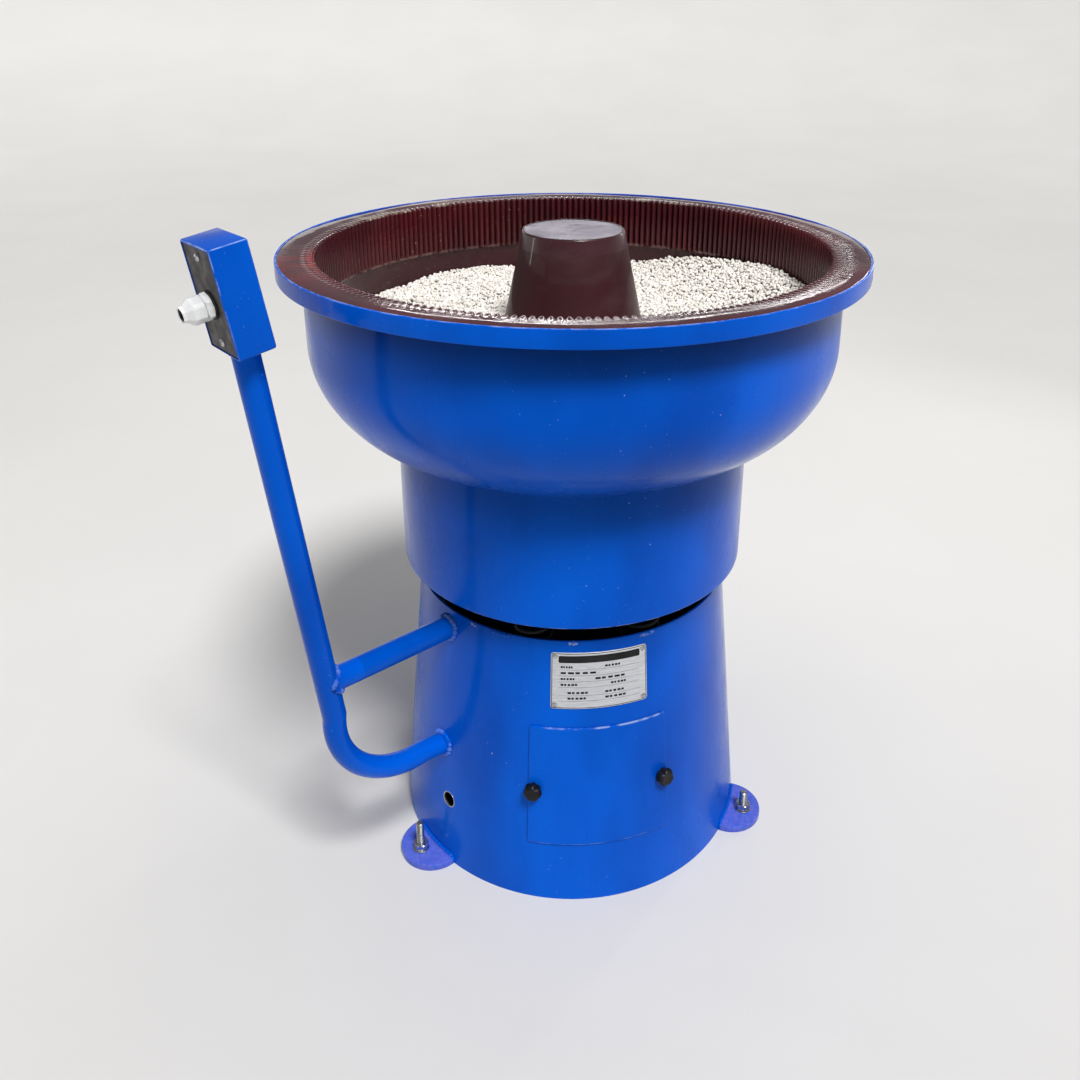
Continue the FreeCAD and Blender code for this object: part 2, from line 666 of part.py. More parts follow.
def switch_box_shell():
    outer = Part.makeBox(BOX_D, BOX_W, BOX_H, Vec(-BOX_D / 2, -BOX_W / 2, 0))
    cavity = Part.makeBox(BOX_D, BOX_W - 2 * BOX_WALL, BOX_H - 2 * BOX_WALL,
                          Vec(-BOX_D / 2 + BOX_WALL, -BOX_W / 2 + BOX_WALL, BOX_WALL))
    shell = outer.cut(cavity)
    lug_x = COVER_X - BOX_COVER_T - BOND_GAP
    lug_h = BOX_H / 2 - BOX_SCREW_HALF_SPAN + 2 * BOX_SCREW_R
    for low in (BOX_WALL / 2, BOX_H - lug_h):
        lug = Part.makeBox(BOX_LUG_D, BOX_LUG_W, lug_h - BOX_WALL / 2,
                           Vec(lug_x - BOX_LUG_D, -BOX_LUG_W / 2, low))
        shell = shell.fuse(lug)
    for side in (-1, 1):
        z = BOX_H / 2 + side * BOX_SCREW_HALF_SPAN
        shell = shell.cut(outward(drill_through(BOX_SCREW_R + BOND_GAP), COVER_X, z))
    for z in BUTTON_HEIGHTS.values():
        shell = shell.cut(inward(drill_through(BUTTON_R + 2 * BEZEL_GAP), -BOX_D / 2, z))
    pipe_way = cylinder(PIPE_R + 2 * RUN_CLEAR + BOX_COVER_GAP, -BOX_D / 2, BOX_D / 2)
    pipe_way.rotate(ORIGIN, Y_AXIS, ARM_LEAN - BOX_LEAN)
    pipe_way.translate(Vec(arm_axis_r(BOX_BOTTOM_Z) - BOX_BOTTOM_R, 0, 0))
    return on_arm(shell.cut(pipe_way).removeSplitter())


def switch_box_cover():
    width = BOX_W - 2 * BOX_WALL - 2 * BOX_COVER_GAP
    height = BOX_H - 2 * BOX_WALL - 2 * BOX_COVER_GAP
    plate = Part.makeBox(BOX_COVER_T, width, height,
                         Vec(COVER_X - BOX_COVER_T, -width / 2, BOX_WALL + BOX_COVER_GAP))
    plate = plate.cut(outward(drill_through(GLAND_THREAD_R + BOND_GAP), COVER_X, GLAND_Z))
    for side in (-1, 1):
        z = BOX_H / 2 + side * BOX_SCREW_HALF_SPAN
        plate = plate.cut(outward(drill_through(BOX_SCREW_R + BOX_COVER_GAP), COVER_X, z))
    return on_arm(plate)


def box_screws():
    head = Part.makeSphere(BOX_SCREW_HEAD_R, ORIGIN, Z_AXIS, 0, 90, 360)
    head = head.common(cylinder(BOX_SCREW_HEAD_R, 0, BOX_SCREW_HEAD_H))
    screw = head.fuse(cylinder(BOX_SCREW_R, -BOX_SCREW_L, BOND_GAP)).removeSplitter()
    screw.translate(Vec(0, 0, BOND_GAP))
    screws = [on_arm(outward(screw, COVER_X, BOX_H / 2 + side * BOX_SCREW_HALF_SPAN))
              for side in (-1, 1)]
    return Part.makeCompound(screws)


def gland_bore():
    return cylinder(GLAND_BORE_R, -4 * GLAND_TAIL_L, 6 * GLAND_TAIL_L)


def gland_washer():
    return on_arm(outward(ring(GLAND_WASHER_R, GLAND_THREAD_R + BOND_GAP, BOND_GAP, GLAND_WASHER_T),
                          COVER_X, GLAND_Z))


def gland_body():
    flange_low = GLAND_WASHER_T + BOND_GAP
    flange_high = flange_low + GLAND_FLANGE_T
    body = hexagon(GLAND_AF, flange_low, flange_high)
    body = body.fuse(cylinder(GLAND_THREAD_R, -GLAND_TAIL_L, flange_low + 1))
    body = body.fuse(cylinder(GLAND_NECK_R, flange_high - 1, flange_high + GLAND_NECK_L))
    return on_arm(outward(body.removeSplitter().cut(gland_bore()), COVER_X, GLAND_Z))


def gland_cap():
    flange_high = GLAND_WASHER_T + BOND_GAP + GLAND_FLANGE_T
    low = flange_high + GLAND_CAP_GAP
    grip_high = low + GLAND_CAP_GRIP_L
    grip = hexagon(GLAND_CAP_AF, low, grip_high)
    grip = grip.common(cylinder(GLAND_CAP_AF / 2 + GLAND_CAP_CORNER, low, grip_high))
    tip = Part.makeCone(GLAND_CAP_AF / 2, GLAND_CAP_TIP_R, GLAND_CAP_L - GLAND_CAP_GRIP_L,
                        Vec(0, 0, grip_high))
    cap = grip.fuse(tip).cut(gland_bore())
    neck_space = cylinder(GLAND_NECK_R + BOND_GAP, flange_high, flange_high + GLAND_NECK_L + BOND_GAP)
    return on_arm(outward(cap.cut(neck_space), COVER_X, GLAND_Z))


def gland_locknut():
    high = -BOX_COVER_T - BOND_GAP
    nut = hexagon(LOCKNUT_AF, high - LOCKNUT_T, high)
    nut = nut.cut(cylinder(GLAND_THREAD_R + BOND_GAP, high - 2 * LOCKNUT_T, 0))
    return on_arm(outward(nut, COVER_X, GLAND_Z))


def contact_block():
    depth, width, height = CONTACT_BLOCK
    corner = Vec(-BOX_D / 2 + CONTACT_BLOCK_BACK, -width / 2, (BOX_H - height) / 2)
    return on_arm(Part.makeBox(depth, width, height, corner))


def button_bezels():
    bezel = ring(BEZEL_R, BUTTON_R + BEZEL_GAP, BOND_GAP, BEZEL_T)
    return Part.makeCompound([on_arm(inward(bezel, -BOX_D / 2, z))
                              for z in BUTTON_HEIGHTS.values()])


def button(name):
    """A round push button whose stem stops short of the contact block."""
    cap = cylinder(BUTTON_R, -BUTTON_STEM, BUTTON_PROUD[name])
    cap = cap.makeFillet(BUTTON_EDGE_R, [cap.Edges[0]])
    return on_arm(inward(cap, -BOX_D / 2, BUTTON_HEIGHTS[name]))


# ---- motor ----
FLANGE_HIGH = PLATE_Z - BOND_GAP
FLANGE_LOW = FLANGE_HIGH - MOTOR_FLANGE_T


def motor_housing():
    body = ring(MOTOR_R, MOTOR_BORE_R, MOTOR_BOTTOM, FLANGE_LOW - BOND_GAP)
    fin = Part.makeBox(MOTOR_FIN_H + 1, MOTOR_FIN_T, MOTOR_FIN_HIGH - MOTOR_FIN_LOW,
                       Vec(MOTOR_R - 1, -MOTOR_FIN_T / 2, MOTOR_FIN_LOW))
    step = 360.0 / MOTOR_FINS
    fins = [to_azimuth(fin, i * step) for i in range(MOTOR_FINS)
            if abs(i * step - 180) > MOTOR_FIN_FREE]
    return body.fuse(fins).removeSplitter()


def motor_lower_cover():
    low = MOTOR_BOTTOM - END_COVER_T
    seat_low = low + END_COVER_FLOOR
    cover = cylinder(MOTOR_R, low, MOTOR_BOTTOM - BOND_GAP)
    seat = cylinder(BEARING_R + BOND_GAP, seat_low, MOTOR_BOTTOM)
    shaft_way = cylinder(SHAFT_R + SHAFT_HOLE_GAP, low - 1, MOTOR_BOTTOM)
    return cover.cut(seat).cut(shaft_way)


def motor_upper_cover():
    """The mounting flange, the neck through the motor plate and the upper bearing's seat."""
    neck_in_r = MOTOR_NECK_R - MOTOR_NECK_T
    seat_r = BEARING_R + BOND_GAP
    seat_high = UPPER_BEARING_Z + BEARING_T + BOND_GAP
    shaft_way_r = SHAFT_R + SHAFT_HOLE_GAP
    cover = turned([(neck_in_r, FLANGE_LOW), (MOTOR_FLANGE_R, FLANGE_LOW),
                    (MOTOR_FLANGE_R, FLANGE_HIGH), (MOTOR_NECK_R, FLANGE_HIGH),
                    (MOTOR_NECK_R, MOTOR_NECK_TOP), (shaft_way_r, MOTOR_NECK_TOP),
                    (shaft_way_r, seat_high), (seat_r, seat_high), (seat_r, SEAT_WALL_TOP),
                    (neck_in_r, SEAT_WALL_TOP)])
    hole = cylinder(BOLT_R + BOND_GAP, FLANGE_LOW - 1, FLANGE_HIGH + 1)
    hole.translate(Vec(BOLT_CIRCLE_R, 0, 0))
    return cover.cut(Part.makeCompound(around(hole, BOLT_COUNT)))


def bearing(z_low):
    return ring(BEARING_R, SHAFT_R + RUN_CLEAR, z_low, z_low + BEARING_T)


def stator():
    return ring(MOTOR_BORE_R - BOND_GAP, STATOR_IN_R, CORE_LOW, CORE_HIGH)


def motor_bolts():
    head_top = FLANGE_LOW - BOND_GAP
    nut_low = PLATE_Z + PLATE_T + BOND_GAP
    bolt = hexagon(BOLT_AF, head_top - BOLT_HEAD_T, head_top)
    bolt = bolt.fuse(cylinder(BOLT_R, head_top - 1, nut_low + BOLT_TAIL))
    bolt = bolt.fuse(hexagon(BOLT_AF, nut_low, nut_low + BOLT_NUT_T)).removeSplitter()
    bolt.translate(Vec(BOLT_CIRCLE_R, 0, 0))
    return Part.makeCompound(around(bolt, BOLT_COUNT))


def terminal_box():
    """A shallow box on the motor's back, open where its lid goes."""
    wall = TERMINAL_WALL
    outer = Part.makeBox(wall + TERMINAL_D, TERMINAL_W, TERMINAL_H,
                         Vec(MOTOR_R - wall, -TERMINAL_W / 2, TERMINAL_LOW))
    cavity = Part.makeBox(wall + TERMINAL_D, TERMINAL_W - 2 * wall, TERMINAL_H - 2 * wall,
                          Vec(MOTOR_R + wall, -TERMINAL_W / 2 + wall, TERMINAL_LOW + wall))
    motor_space = cylinder(MOTOR_R + BOND_GAP, 0, 2 * TERMINAL_LOW)
    return to_azimuth(outer.cut(cavity).cut(motor_space), 180)


def terminal_box_lid():
    lid = Part.makeBox(TERMINAL_LID_T, TERMINAL_W + 2, TERMINAL_H + 2,
                       Vec(MOTOR_R + TERMINAL_D + BOND_GAP, -TERMINAL_W / 2 - 1, TERMINAL_LOW - 1))
    return to_azimuth(lid, 180)


# ---- rotor and weights ----
def rotor_shaft():
    shaft = cylinder(SHAFT_R, SHAFT_BOTTOM, SHAFT_TOP)
    return shaft.makeChamfer(SHAFT_CHAMFER, [shaft.Edges[0], shaft.Edges[2]])


def rotor_core():
    return ring(CORE_R, SHAFT_R + BOND_GAP, CORE_LOW, CORE_HIGH)


def eccentric(radius, z_low, bore_gap):
    """A sector weight round a clamping hub, heavy towards the front."""
    z_high = z_low + WEIGHT_T
    sector = turned([(1, z_low), (radius, z_low), (radius, z_high), (1, z_high)],
                    WEIGHT_SPAN, -WEIGHT_SPAN / 2)
    weight = sector.fuse(cylinder(HUB_R, z_low, z_high)).removeSplitter()
    return weight.cut(cylinder(SHAFT_R + bore_gap, z_low - 1, z_high + 1))


def clamp_screw(z_low):
    """The head of the screw that clamps a weight's hub, on its light side."""
    return Part.makeCylinder(CLAMP_SCREW_R, CLAMP_SCREW_L,
                             Vec(0, HUB_R + BOND_GAP, z_low + WEIGHT_T / 2), Y_AXIS)


def build():
    os.makedirs("parts", exist_ok=True)

    save("bowl_shell", outside_trough_ring(steel_layer()))
    save("bowl_cone", inside_trough_ring(steel_layer()))
    save("bowl_liner", bowl_liner())
    save("cone_liner", inside_trough_ring(lining_layer()))
    save("rim_coat", rim_coat())
    save("rim_band", rim_band())
    save("rim_plate", rim_plate())
    save("cone_cap", cone_cap())
    save("media_load", media_load())
    save("skirt_shell", skirt_shell())
    save("motor_plate", motor_plate())
    save("motor_gussets", gussets())

    save("base_shell", base_shell())
    save("base_ring", base_ring())
    save("foot_pads", Part.makeCompound([foot_pad(azimuth) for azimuth in FOOT_AZIMUTHS]))
    save("foot_studs", foot_hardware([foot_stud(height) for height in STUD_HEIGHTS]))
    save("foot_nuts", foot_hardware([foot_nut()] * len(FOOT_AZIMUTHS)))
    save("foot_washers", foot_hardware([foot_washer()] * len(FOOT_AZIMUTHS)))

    seat_low = spring_seat(BASE_RING_TOP + BOND_GAP, 1)
    seat_high = spring_seat(PLATE_Z - BOND_GAP, -1)
    coil = spring(BASE_RING_TOP + BOND_GAP + SEAT_T + BOND_GAP,
                  PLATE_Z - BOND_GAP - SEAT_T - BOND_GAP)
    places = [spring_azimuth(i) for i in range(SPRING_COUNT)]
    save("lower_spring_seats", Part.makeCompound([to_azimuth(seat_low, a) for a in places]))
    save("upper_spring_seats", Part.makeCompound([to_azimuth(seat_high, a) for a in places]))
    for i, group in enumerate(SPRING_GROUPS):
        pair = [to_azimuth(coil, azimuth) for azimuth in places[2 * i:2 * i + 2]]
        save("springs_" + group, Part.makeCompound(pair))

    save("access_cover_plate", cover_plate())
    for name, side in (("left", -1), ("right", 1)):
        save("knob_%s" % name, on_base(knob_head(), side * KNOB_AZIMUTH, KNOB_Z))
        save("knob_stud_%s" % name, on_base(knob_stud(), side * KNOB_AZIMUTH, KNOB_Z))
    save("nameplate", nameplate())
    save("nameplate_rivets", nameplate_rivets())

    save("control_arm", control_arm())
    save("arm_strut", arm_strut())
    save("switch_box_shell", switch_box_shell())
    save("switch_box_cover", switch_box_cover())
    save("switch_box_screws", box_screws())
    save("gland_washer", gland_washer())
    save("gland_body", gland_body())
    save("gland_cap", gland_cap())
    save("gland_locknut", gland_locknut())
    save("contact_block", contact_block())
    save("button_bezels", button_bezels())
    save("start_button", button("start"))
    save("stop_button", button("stop"))

    save("motor_housing", motor_housing())
    save("motor_lower_cover", motor_lower_cover())
    save("motor_upper_cover", motor_upper_cover())
    save("lower_bearing", bearing(MOTOR_BOTTOM - END_COVER_T + END_COVER_FLOOR + BOND_GAP))
    save("upper_bearing", bearing(UPPER_BEARING_Z))
    save("stator", stator())
    save("motor_bolts", motor_bolts())
    save("terminal_box", terminal_box())
    save("terminal_box_lid", terminal_box_lid())

    save("rotor_shaft", rotor_shaft())
    save("rotor_core", rotor_core())
    save("upper_weight", eccentric(UPPER_WEIGHT_R, UPPER_WEIGHT_Z, BOND_GAP))
    save("fixed_weight", eccentric(LOWER_WEIGHT_R, FIXED_WEIGHT_Z, BOND_GAP))
    save("lead_weight", eccentric(LOWER_WEIGHT_R, LEAD_WEIGHT_Z, RUN_CLEAR))
    save("lead_weight_screw", clamp_screw(LEAD_WEIGHT_Z))


build()
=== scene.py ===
import json
import math

import bmesh
import bpy
import numpy as np
from mathutils import Matrix, Vector


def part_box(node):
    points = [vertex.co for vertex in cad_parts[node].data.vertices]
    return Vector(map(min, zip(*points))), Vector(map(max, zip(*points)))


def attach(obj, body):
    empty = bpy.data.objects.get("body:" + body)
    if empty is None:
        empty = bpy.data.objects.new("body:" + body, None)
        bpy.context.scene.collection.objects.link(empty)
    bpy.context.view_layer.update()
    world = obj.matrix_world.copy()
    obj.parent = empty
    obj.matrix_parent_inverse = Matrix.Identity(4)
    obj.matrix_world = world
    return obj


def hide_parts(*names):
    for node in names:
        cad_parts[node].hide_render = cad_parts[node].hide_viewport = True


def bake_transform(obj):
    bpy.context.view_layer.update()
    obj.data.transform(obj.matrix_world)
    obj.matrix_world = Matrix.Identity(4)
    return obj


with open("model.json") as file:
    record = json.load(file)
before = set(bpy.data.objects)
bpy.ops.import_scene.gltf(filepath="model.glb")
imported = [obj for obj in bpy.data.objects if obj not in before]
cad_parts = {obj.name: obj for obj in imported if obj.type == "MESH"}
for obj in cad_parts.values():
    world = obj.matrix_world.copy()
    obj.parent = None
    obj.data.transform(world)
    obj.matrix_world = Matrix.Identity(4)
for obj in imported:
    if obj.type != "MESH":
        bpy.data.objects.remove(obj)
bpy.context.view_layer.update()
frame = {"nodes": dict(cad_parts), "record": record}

# Looks of a vibratory rock tumbler: a maroon-lined blue bowl with ribs and a centre
# cone, cream granules in its trough, and a blue base with a cover, a nameplate and a
# switch box on a bent arm. Metres, +Z up, front towards -Y. An azimuth is measured
# from the front, positive towards +X.

RANDOM = np.random.default_rng(7)

# ---- places read from the frame ----
BAND_LOW, BAND_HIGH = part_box("rim_band")
RIM_R, RIM_TOP = BAND_HIGH.x, BAND_HIGH.z
SKIRT_LOW, SKIRT_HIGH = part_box("skirt_shell")
SKIRT_R = SKIRT_HIGH.x
BASE_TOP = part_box("base_shell")[1].z
BASE_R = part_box("base_shell")[1].x
PAD_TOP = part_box("foot_pads")[1].z
NUT_LOW, NUT_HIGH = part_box("foot_nuts")
COVER_LOW, COVER_HIGH = (corner.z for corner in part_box("access_cover_plate"))
PLATE_LOW, PLATE_HIGH = (corner.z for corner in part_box("nameplate"))

# ---- sizes shared with the CAD ----
BAND_T = 0.003
WALL_R = 0.302
LIP_R = 0.304
RIM_MIDDLE_R = 0.32
LINING_T = 0.007
STEEL_T = 0.004
BOND_GAP = 0.0001
TROUGH_R = 0.157
TROUGH_Z = 0.543
WALL_BEND_Z = 0.665
CONE_TOP_R = 0.060
CONE_TOP_Z = 0.780
CONE_SLOPE = 0.209
CAP_R = 0.0586
CAP_LOW = 0.7741
CAP_TOP = 0.7798
MEDIA_HIGH_AZ = math.radians(105.0)
SKIRT_T = 0.004
BASE_TOP_R = 0.1955
FOOT_AZIMUTHS = (-60.0, 60.0, 180.0)
FOOT_R = 0.041
FOOT_CENTRE_R = 0.2295
STUD_CIRCLE_R = 0.248
STUD_HEIGHTS = (0.049, 0.036, 0.045)
STUD_R = 0.005
STUD_SHANK_R = 0.0045
NUT_AF = 0.017
WASHER_R = 0.0105
COVER_HALF_ANGLE = math.radians(23.0)
COVER_GAP = 0.0004
COVER_T = 0.002
KNOB_AZIMUTH = 21.2
KNOB_Z = 0.153
KNOB_R = 0.011
KNOB_T = 0.012
KNOB_FOOT = 0.003
KNOB_BORE_R = 0.00305
PLATE_HALF_ANGLE = math.radians(16.3)
PLATE_T = 0.0008
CABLE_HOLE_AZ = -53.5
CABLE_HOLE_Z = 0.087
CABLE_HOLE_R = 0.010
ARM_AZIMUTH = -58.0
ARM_LEAN = math.radians(7.2)
PIPE_R = 0.0136
ARM_CORNER_R = 0.342
ARM_CORNER_Z = 0.1767
STRUT_Z = 0.3225
BOX_W = 0.063
BOX_D = 0.038
BOX_H = 0.107
BOX_WALL = 0.002
BOX_LEAN = math.radians(9.4)
BOX_BOTTOM_R = 0.411
BOX_BOTTOM_Z = 0.724
BOX_COVER_X = 0.018
BOX_COVER_T = 0.002
BOX_COVER_GAP = 0.0004
BOX_SCREW_HALF_SPAN = 0.0416
GLAND_Z = 0.0495
GLAND_HOLE_R = 0.0101
GLAND_BORE_R = 0.006
GLAND_AF = 0.024
GLAND_CAP_AF = 0.025
BUTTON_OFFSET = 0.021
BUTTON_R = 0.0105
BEZEL_R = 0.0145
BEZEL_T = 0.003

BASE_SLOPE = math.atan((BASE_R - BASE_TOP_R) / BASE_TOP)

# ---- sizes of the detail ----
MEDIA_LEVEL = 0.664
MEDIA_BANK_START = 0.2
MEDIA_BANK_SLOPE = 0.38
RIM_WELD_AZIMUTHS = (-53.0, 61.0)
RIB_COUNT = 228
RIB_SAMPLES = 8
RIB_DEPTH = 0.0055
RIB_LOW = 0.695
RIB_ROUNDING = 0.006
# Steps over the lip, outward from the wall and down from the rim's top: first between
# the ribs, then along a rib's crest.
LIP_VALLEY = ((0, 0.0052), (0.0004, 0.0040), (0.0012, 0.0030), (0.0024, 0.0022),
              (0.0040, 0.0015), (0.0070, 0.0008), (0.0120, 0.0003))
LIP_CREST = ((-0.0055, 0.0036), (-0.0051, 0.0019), (-0.0042, 0.0010), (-0.0026, 0.0006),
             (-0.0004, 0.0007), (0.0040, 0.0010), (0.0120, 0.0003))
THREAD_PITCH = 0.0015
THREAD_DEPTH = 0.0007
GRAIN_SPACING = 0.0042
GRAIN_R = 0.00225
SECTORS = 10
SPRING_GROUPS = ("front_right", "back_right", "back_left", "front_left")

# ---- camera ----
CAMERA_AZIMUTH = math.radians(-9.7)
CAMERA_DISTANCE = 1.1544
CAMERA_HEIGHT = 1.0214
CAMERA_PITCH = math.radians(19.86)
CAMERA_YAW = math.radians(-0.39)
CAMERA_ROLL = math.radians(0.21)
CAMERA_LENS = 33.26
CAMERA_SHIFT = (-0.0243, -0.1574)


def moved(x, y, z):
    return Matrix.Translation((x, y, z))


def turned(angle, axis):
    return Matrix.Rotation(angle, 4, axis)


def linked(name, data):
    """A new object, put in the scene."""
    made = bpy.data.objects.new(name, data)
    bpy.context.collection.objects.link(made)
    return made


def make_camera():
    data = bpy.data.cameras.new("camera")
    data.lens = CAMERA_LENS
    data.shift_x, data.shift_y = CAMERA_SHIFT
    data.clip_start = 0.01
    camera = linked("camera", data)
    ahead = Vector((math.sin(CAMERA_YAW) * math.cos(CAMERA_PITCH),
                    math.cos(CAMERA_YAW) * math.cos(CAMERA_PITCH), -math.sin(CAMERA_PITCH)))
    right = Vector((math.cos(CAMERA_YAW), -math.sin(CAMERA_YAW), 0))
    up = right.cross(ahead)
    rolled_right = right * math.cos(CAMERA_ROLL) + up * math.sin(CAMERA_ROLL)
    rolled_up = up * math.cos(CAMERA_ROLL) - right * math.sin(CAMERA_ROLL)
    axes = Matrix((rolled_right, rolled_up, -ahead)).transposed().to_4x4()
    place = moved(0, -CAMERA_DISTANCE, CAMERA_HEIGHT) @ axes
    camera.matrix_world = turned(CAMERA_AZIMUTH, "Z") @ place
    bpy.context.scene.camera = camera


make_camera()


def bowl_underside(r):
    """Height of the steel bowl's outer face at a radius, below the wall's bend."""
    wide = WALL_R + LINING_T + STEEL_T - TROUGH_R
    deep = WALL_BEND_Z - TROUGH_Z + LINING_T + STEEL_T
    return WALL_BEND_Z - deep * math.sqrt(1 - ((r - TROUGH_R) / wide) ** 2)


# ---- materials ----
def srgb(red, green, blue):
    """A display colour of 0 to 255 as the linear colour that a shader takes."""
    levels = [value / 255 for value in (red, green, blue)]
    return (*[v / 12.92 if v <= 0.04045 else ((v + 0.055) / 1.055) ** 2.4 for v in levels], 1.0)


class Finish:
    """A node material being built, with short calls that add its textures."""

    def __init__(self, name, **sockets):
        self.material = bpy.data.materials.new(name)
        self.material.use_nodes = True
        self.tree = self.material.node_tree
        self.shader = self.tree.nodes["Principled BSDF"]
        self.place = self.tree.nodes.new("ShaderNodeTexCoord").outputs["Object"]
        for socket, value in sockets.items():
            self.shader.inputs[socket.replace("_", " ")].default_value = value

    def node(self, kind, inputs, **settings):
        made = self.tree.nodes.new("ShaderNode" + kind)
        for key, value in settings.items():
            setattr(made, key, value)
        for key, value in inputs.items():
            if isinstance(value, bpy.types.NodeSocket):
                self.tree.links.new(value, made.inputs[key])
            elif value is not None:
                made.inputs[key].default_value = value
        return made

    def stretched(self, stretch, shift=0.0):
        inputs = {"Vector": self.place, "Scale": stretch, "Location": (shift, shift, shift)}
        return self.node("Mapping", inputs).outputs[0]

    def noise(self, scale, detail=3.0, stretch=(1, 1, 1), roughness=0.55, shift=0.0):
        inputs = {"Vector": self.stretched(stretch, shift), "Scale": scale, "Detail": detail,
                  "Roughness": roughness}
        return self.node("TexNoise", inputs).outputs[0]

    def attribute(self, name):
        return self.node("Attribute", {}, attribute_name=name).outputs["Fac"]

    def span(self, value, low, high, out_low=0.0, out_high=1.0):
        """value from low to high becomes out_low to out_high, held at both ends."""
        inputs = {0: value, 1: low, 2: high, 3: out_low, 4: out_high}
        return self.node("MapRange", inputs, interpolation_type="SMOOTHSTEP").outputs[0]

    def math(self, operation, first, second=None):
        return self.node("Math", {0: first, 1: second}, operation=operation).outputs[0]

    def times(self, first, second):
        return self.math("MULTIPLY", first, second)

    def most(self, first, second):
        return self.math("MAXIMUM", first, second)

    def under(self, value, limit):
        return self.math("LESS_THAN", value, limit)

    def mix(self, factor, first, second):
        inputs = {0: factor, 6: first, 7: second}
        return self.node("Mix", inputs, data_type="RGBA").outputs[2]

    def height(self):
        return self.node("SeparateXYZ", {0: self.place}).outputs[2]

    def radius(self):
        flat = self.node("VectorMath", {0: self.place, 1: (1, 1, 0)}, operation="MULTIPLY")
        return self.node("VectorMath", {0: flat.outputs[0]}, operation="LENGTH").outputs[1]

    def near(self, azimuth, radius, height, reach):
        """1 at a place on the object, falling to 0 at a distance from it."""
        spot = around_axis(math.radians(azimuth), radius, height)
        away = self.node("VectorMath", {0: self.place, 1: spot}, operation="DISTANCE").outputs[1]
        return self.span(away, 0.3 * reach, reach, 1.0, 0.0)

    def bump(self, height, strength, distance):
        inputs = {"Height": height, "Strength": strength, "Distance": distance}
        earlier = self.shader.inputs["Normal"].links
        if earlier:
            inputs["Normal"] = earlier[0].from_socket
        self.set("Normal", self.node("Bump", inputs).outputs[0])

    def set(self, socket, value):
        self.tree.links.new(value, self.shader.inputs[socket])


def around_axis(azimuth, radius, height):
    """The point at an azimuth in radians, a radius from the axis and a height."""
    return (radius * math.sin(azimuth), -radius * math.cos(azimuth), height)


def enamel():
    """Sprayed enamel: orange peel, cloudy tone, faint runs, specks, rubbed edges with painted
    glints, and painted shade.
    """
    paint = Finish("blue_enamel", Coat_Weight=0.1, Coat_Roughness=0.05, Coat_IOR=1.3, IOR=1.4,
                   Specular_IOR_Level=0.3, Specular_Tint=(0.06, 0.34, 1.0, 1.0))
    shade = srgb(0, 68, 170)
    height, radius = paint.height(), paint.radius()
    cloud = paint.span(paint.noise(5, 3, (1, 1, 0.5)), 0.35, 0.7)
    runs = paint.span(paint.noise(24, 3, (1, 1, 0.08)), 0.45, 0.75)
    tone = paint.mix(cloud, srgb(0, 88, 204), shade)
    tone = paint.mix(paint.times(runs, 0.25), tone, shade)
    # Painted shade: darker under the rim, round the skirt's weld and along the base's upper edge.
    weld_z = bowl_underside(SKIRT_R)
    under_rim = paint.span(height, BAND_LOW.z - 0.06, BAND_LOW.z - 0.004, 0.0, 0.8)
    at_weld = paint.times(paint.span(height, weld_z + 0.01, weld_z + 0.075, 0.5, 0.0),
                          paint.span(height, weld_z - 0.07, weld_z - 0.005))
    at_edge = paint.times(paint.span(height, BASE_TOP - 0.06, BASE_TOP, 0.0, 0.25),
                          paint.under(height, BASE_TOP))
    painted_shade = paint.most(paint.most(under_rim, at_weld), at_edge)
    painted_shade = paint.times(painted_shade, paint.under(radius, RIM_R - 0.02))
    tone = paint.mix(painted_shade, tone, srgb(0, 28, 78))
    # Dust on the foot pads, and painted shade: a near-black inside under the skirt.
    lean = paint.times(height, math.tan(BASE_SLOPE))
    outside = paint.math("GREATER_THAN", radius, paint.math("SUBTRACT", BASE_R + 0.003, lean))
    on_pad = paint.times(outside, paint.under(height, PAD_TOP + 0.002))
    dust = paint.span(paint.noise(190, 4, shift=9.0), 0.3, 0.7, 0.35, 0.7)
    tone = paint.mix(paint.times(on_pad, dust), tone, srgb(112, 112, 200))
    inside = paint.under(radius, paint.math("SUBTRACT", BASE_R - 0.0024, lean))
    inside = paint.times(inside, paint.under(height, SKIRT_LOW.z - 0.001))
    tone = paint.mix(inside, tone, srgb(8, 14, 32))
    speck = paint.times(paint.span(paint.noise(420, 2, roughness=0.4), 0.765, 0.78),
                        paint.span(paint.noise(3.2, 2, shift=4.0), 0.52, 0.62))
    # Pale edges and weld beads: partly rubbed paint, partly painted glints and highlights.
    worn_and_glinting = paint.times(paint.attribute("wear_and_glint"),
                       paint.span(paint.noise(60, 4, shift=2.0), 0.42, 0.6))
    bare = paint.most(speck, worn_and_glinting)
    paint.set("Base Color", paint.mix(bare, tone, srgb(170, 186, 212)))
    dull = paint.span(paint.noise(14, 5, (1, 1, 0.6)), 0.35, 0.7, 0.17, 0.34)
    paint.set("Roughness", paint.most(dull, paint.times(bare, 0.6)))
    paint.bump(paint.noise(230, 1.5), 0.16, 0.0004)
    paint.bump(paint.noise(16, 2, (1, 1, 0.5)), 0.18, 0.002)
    return paint.material


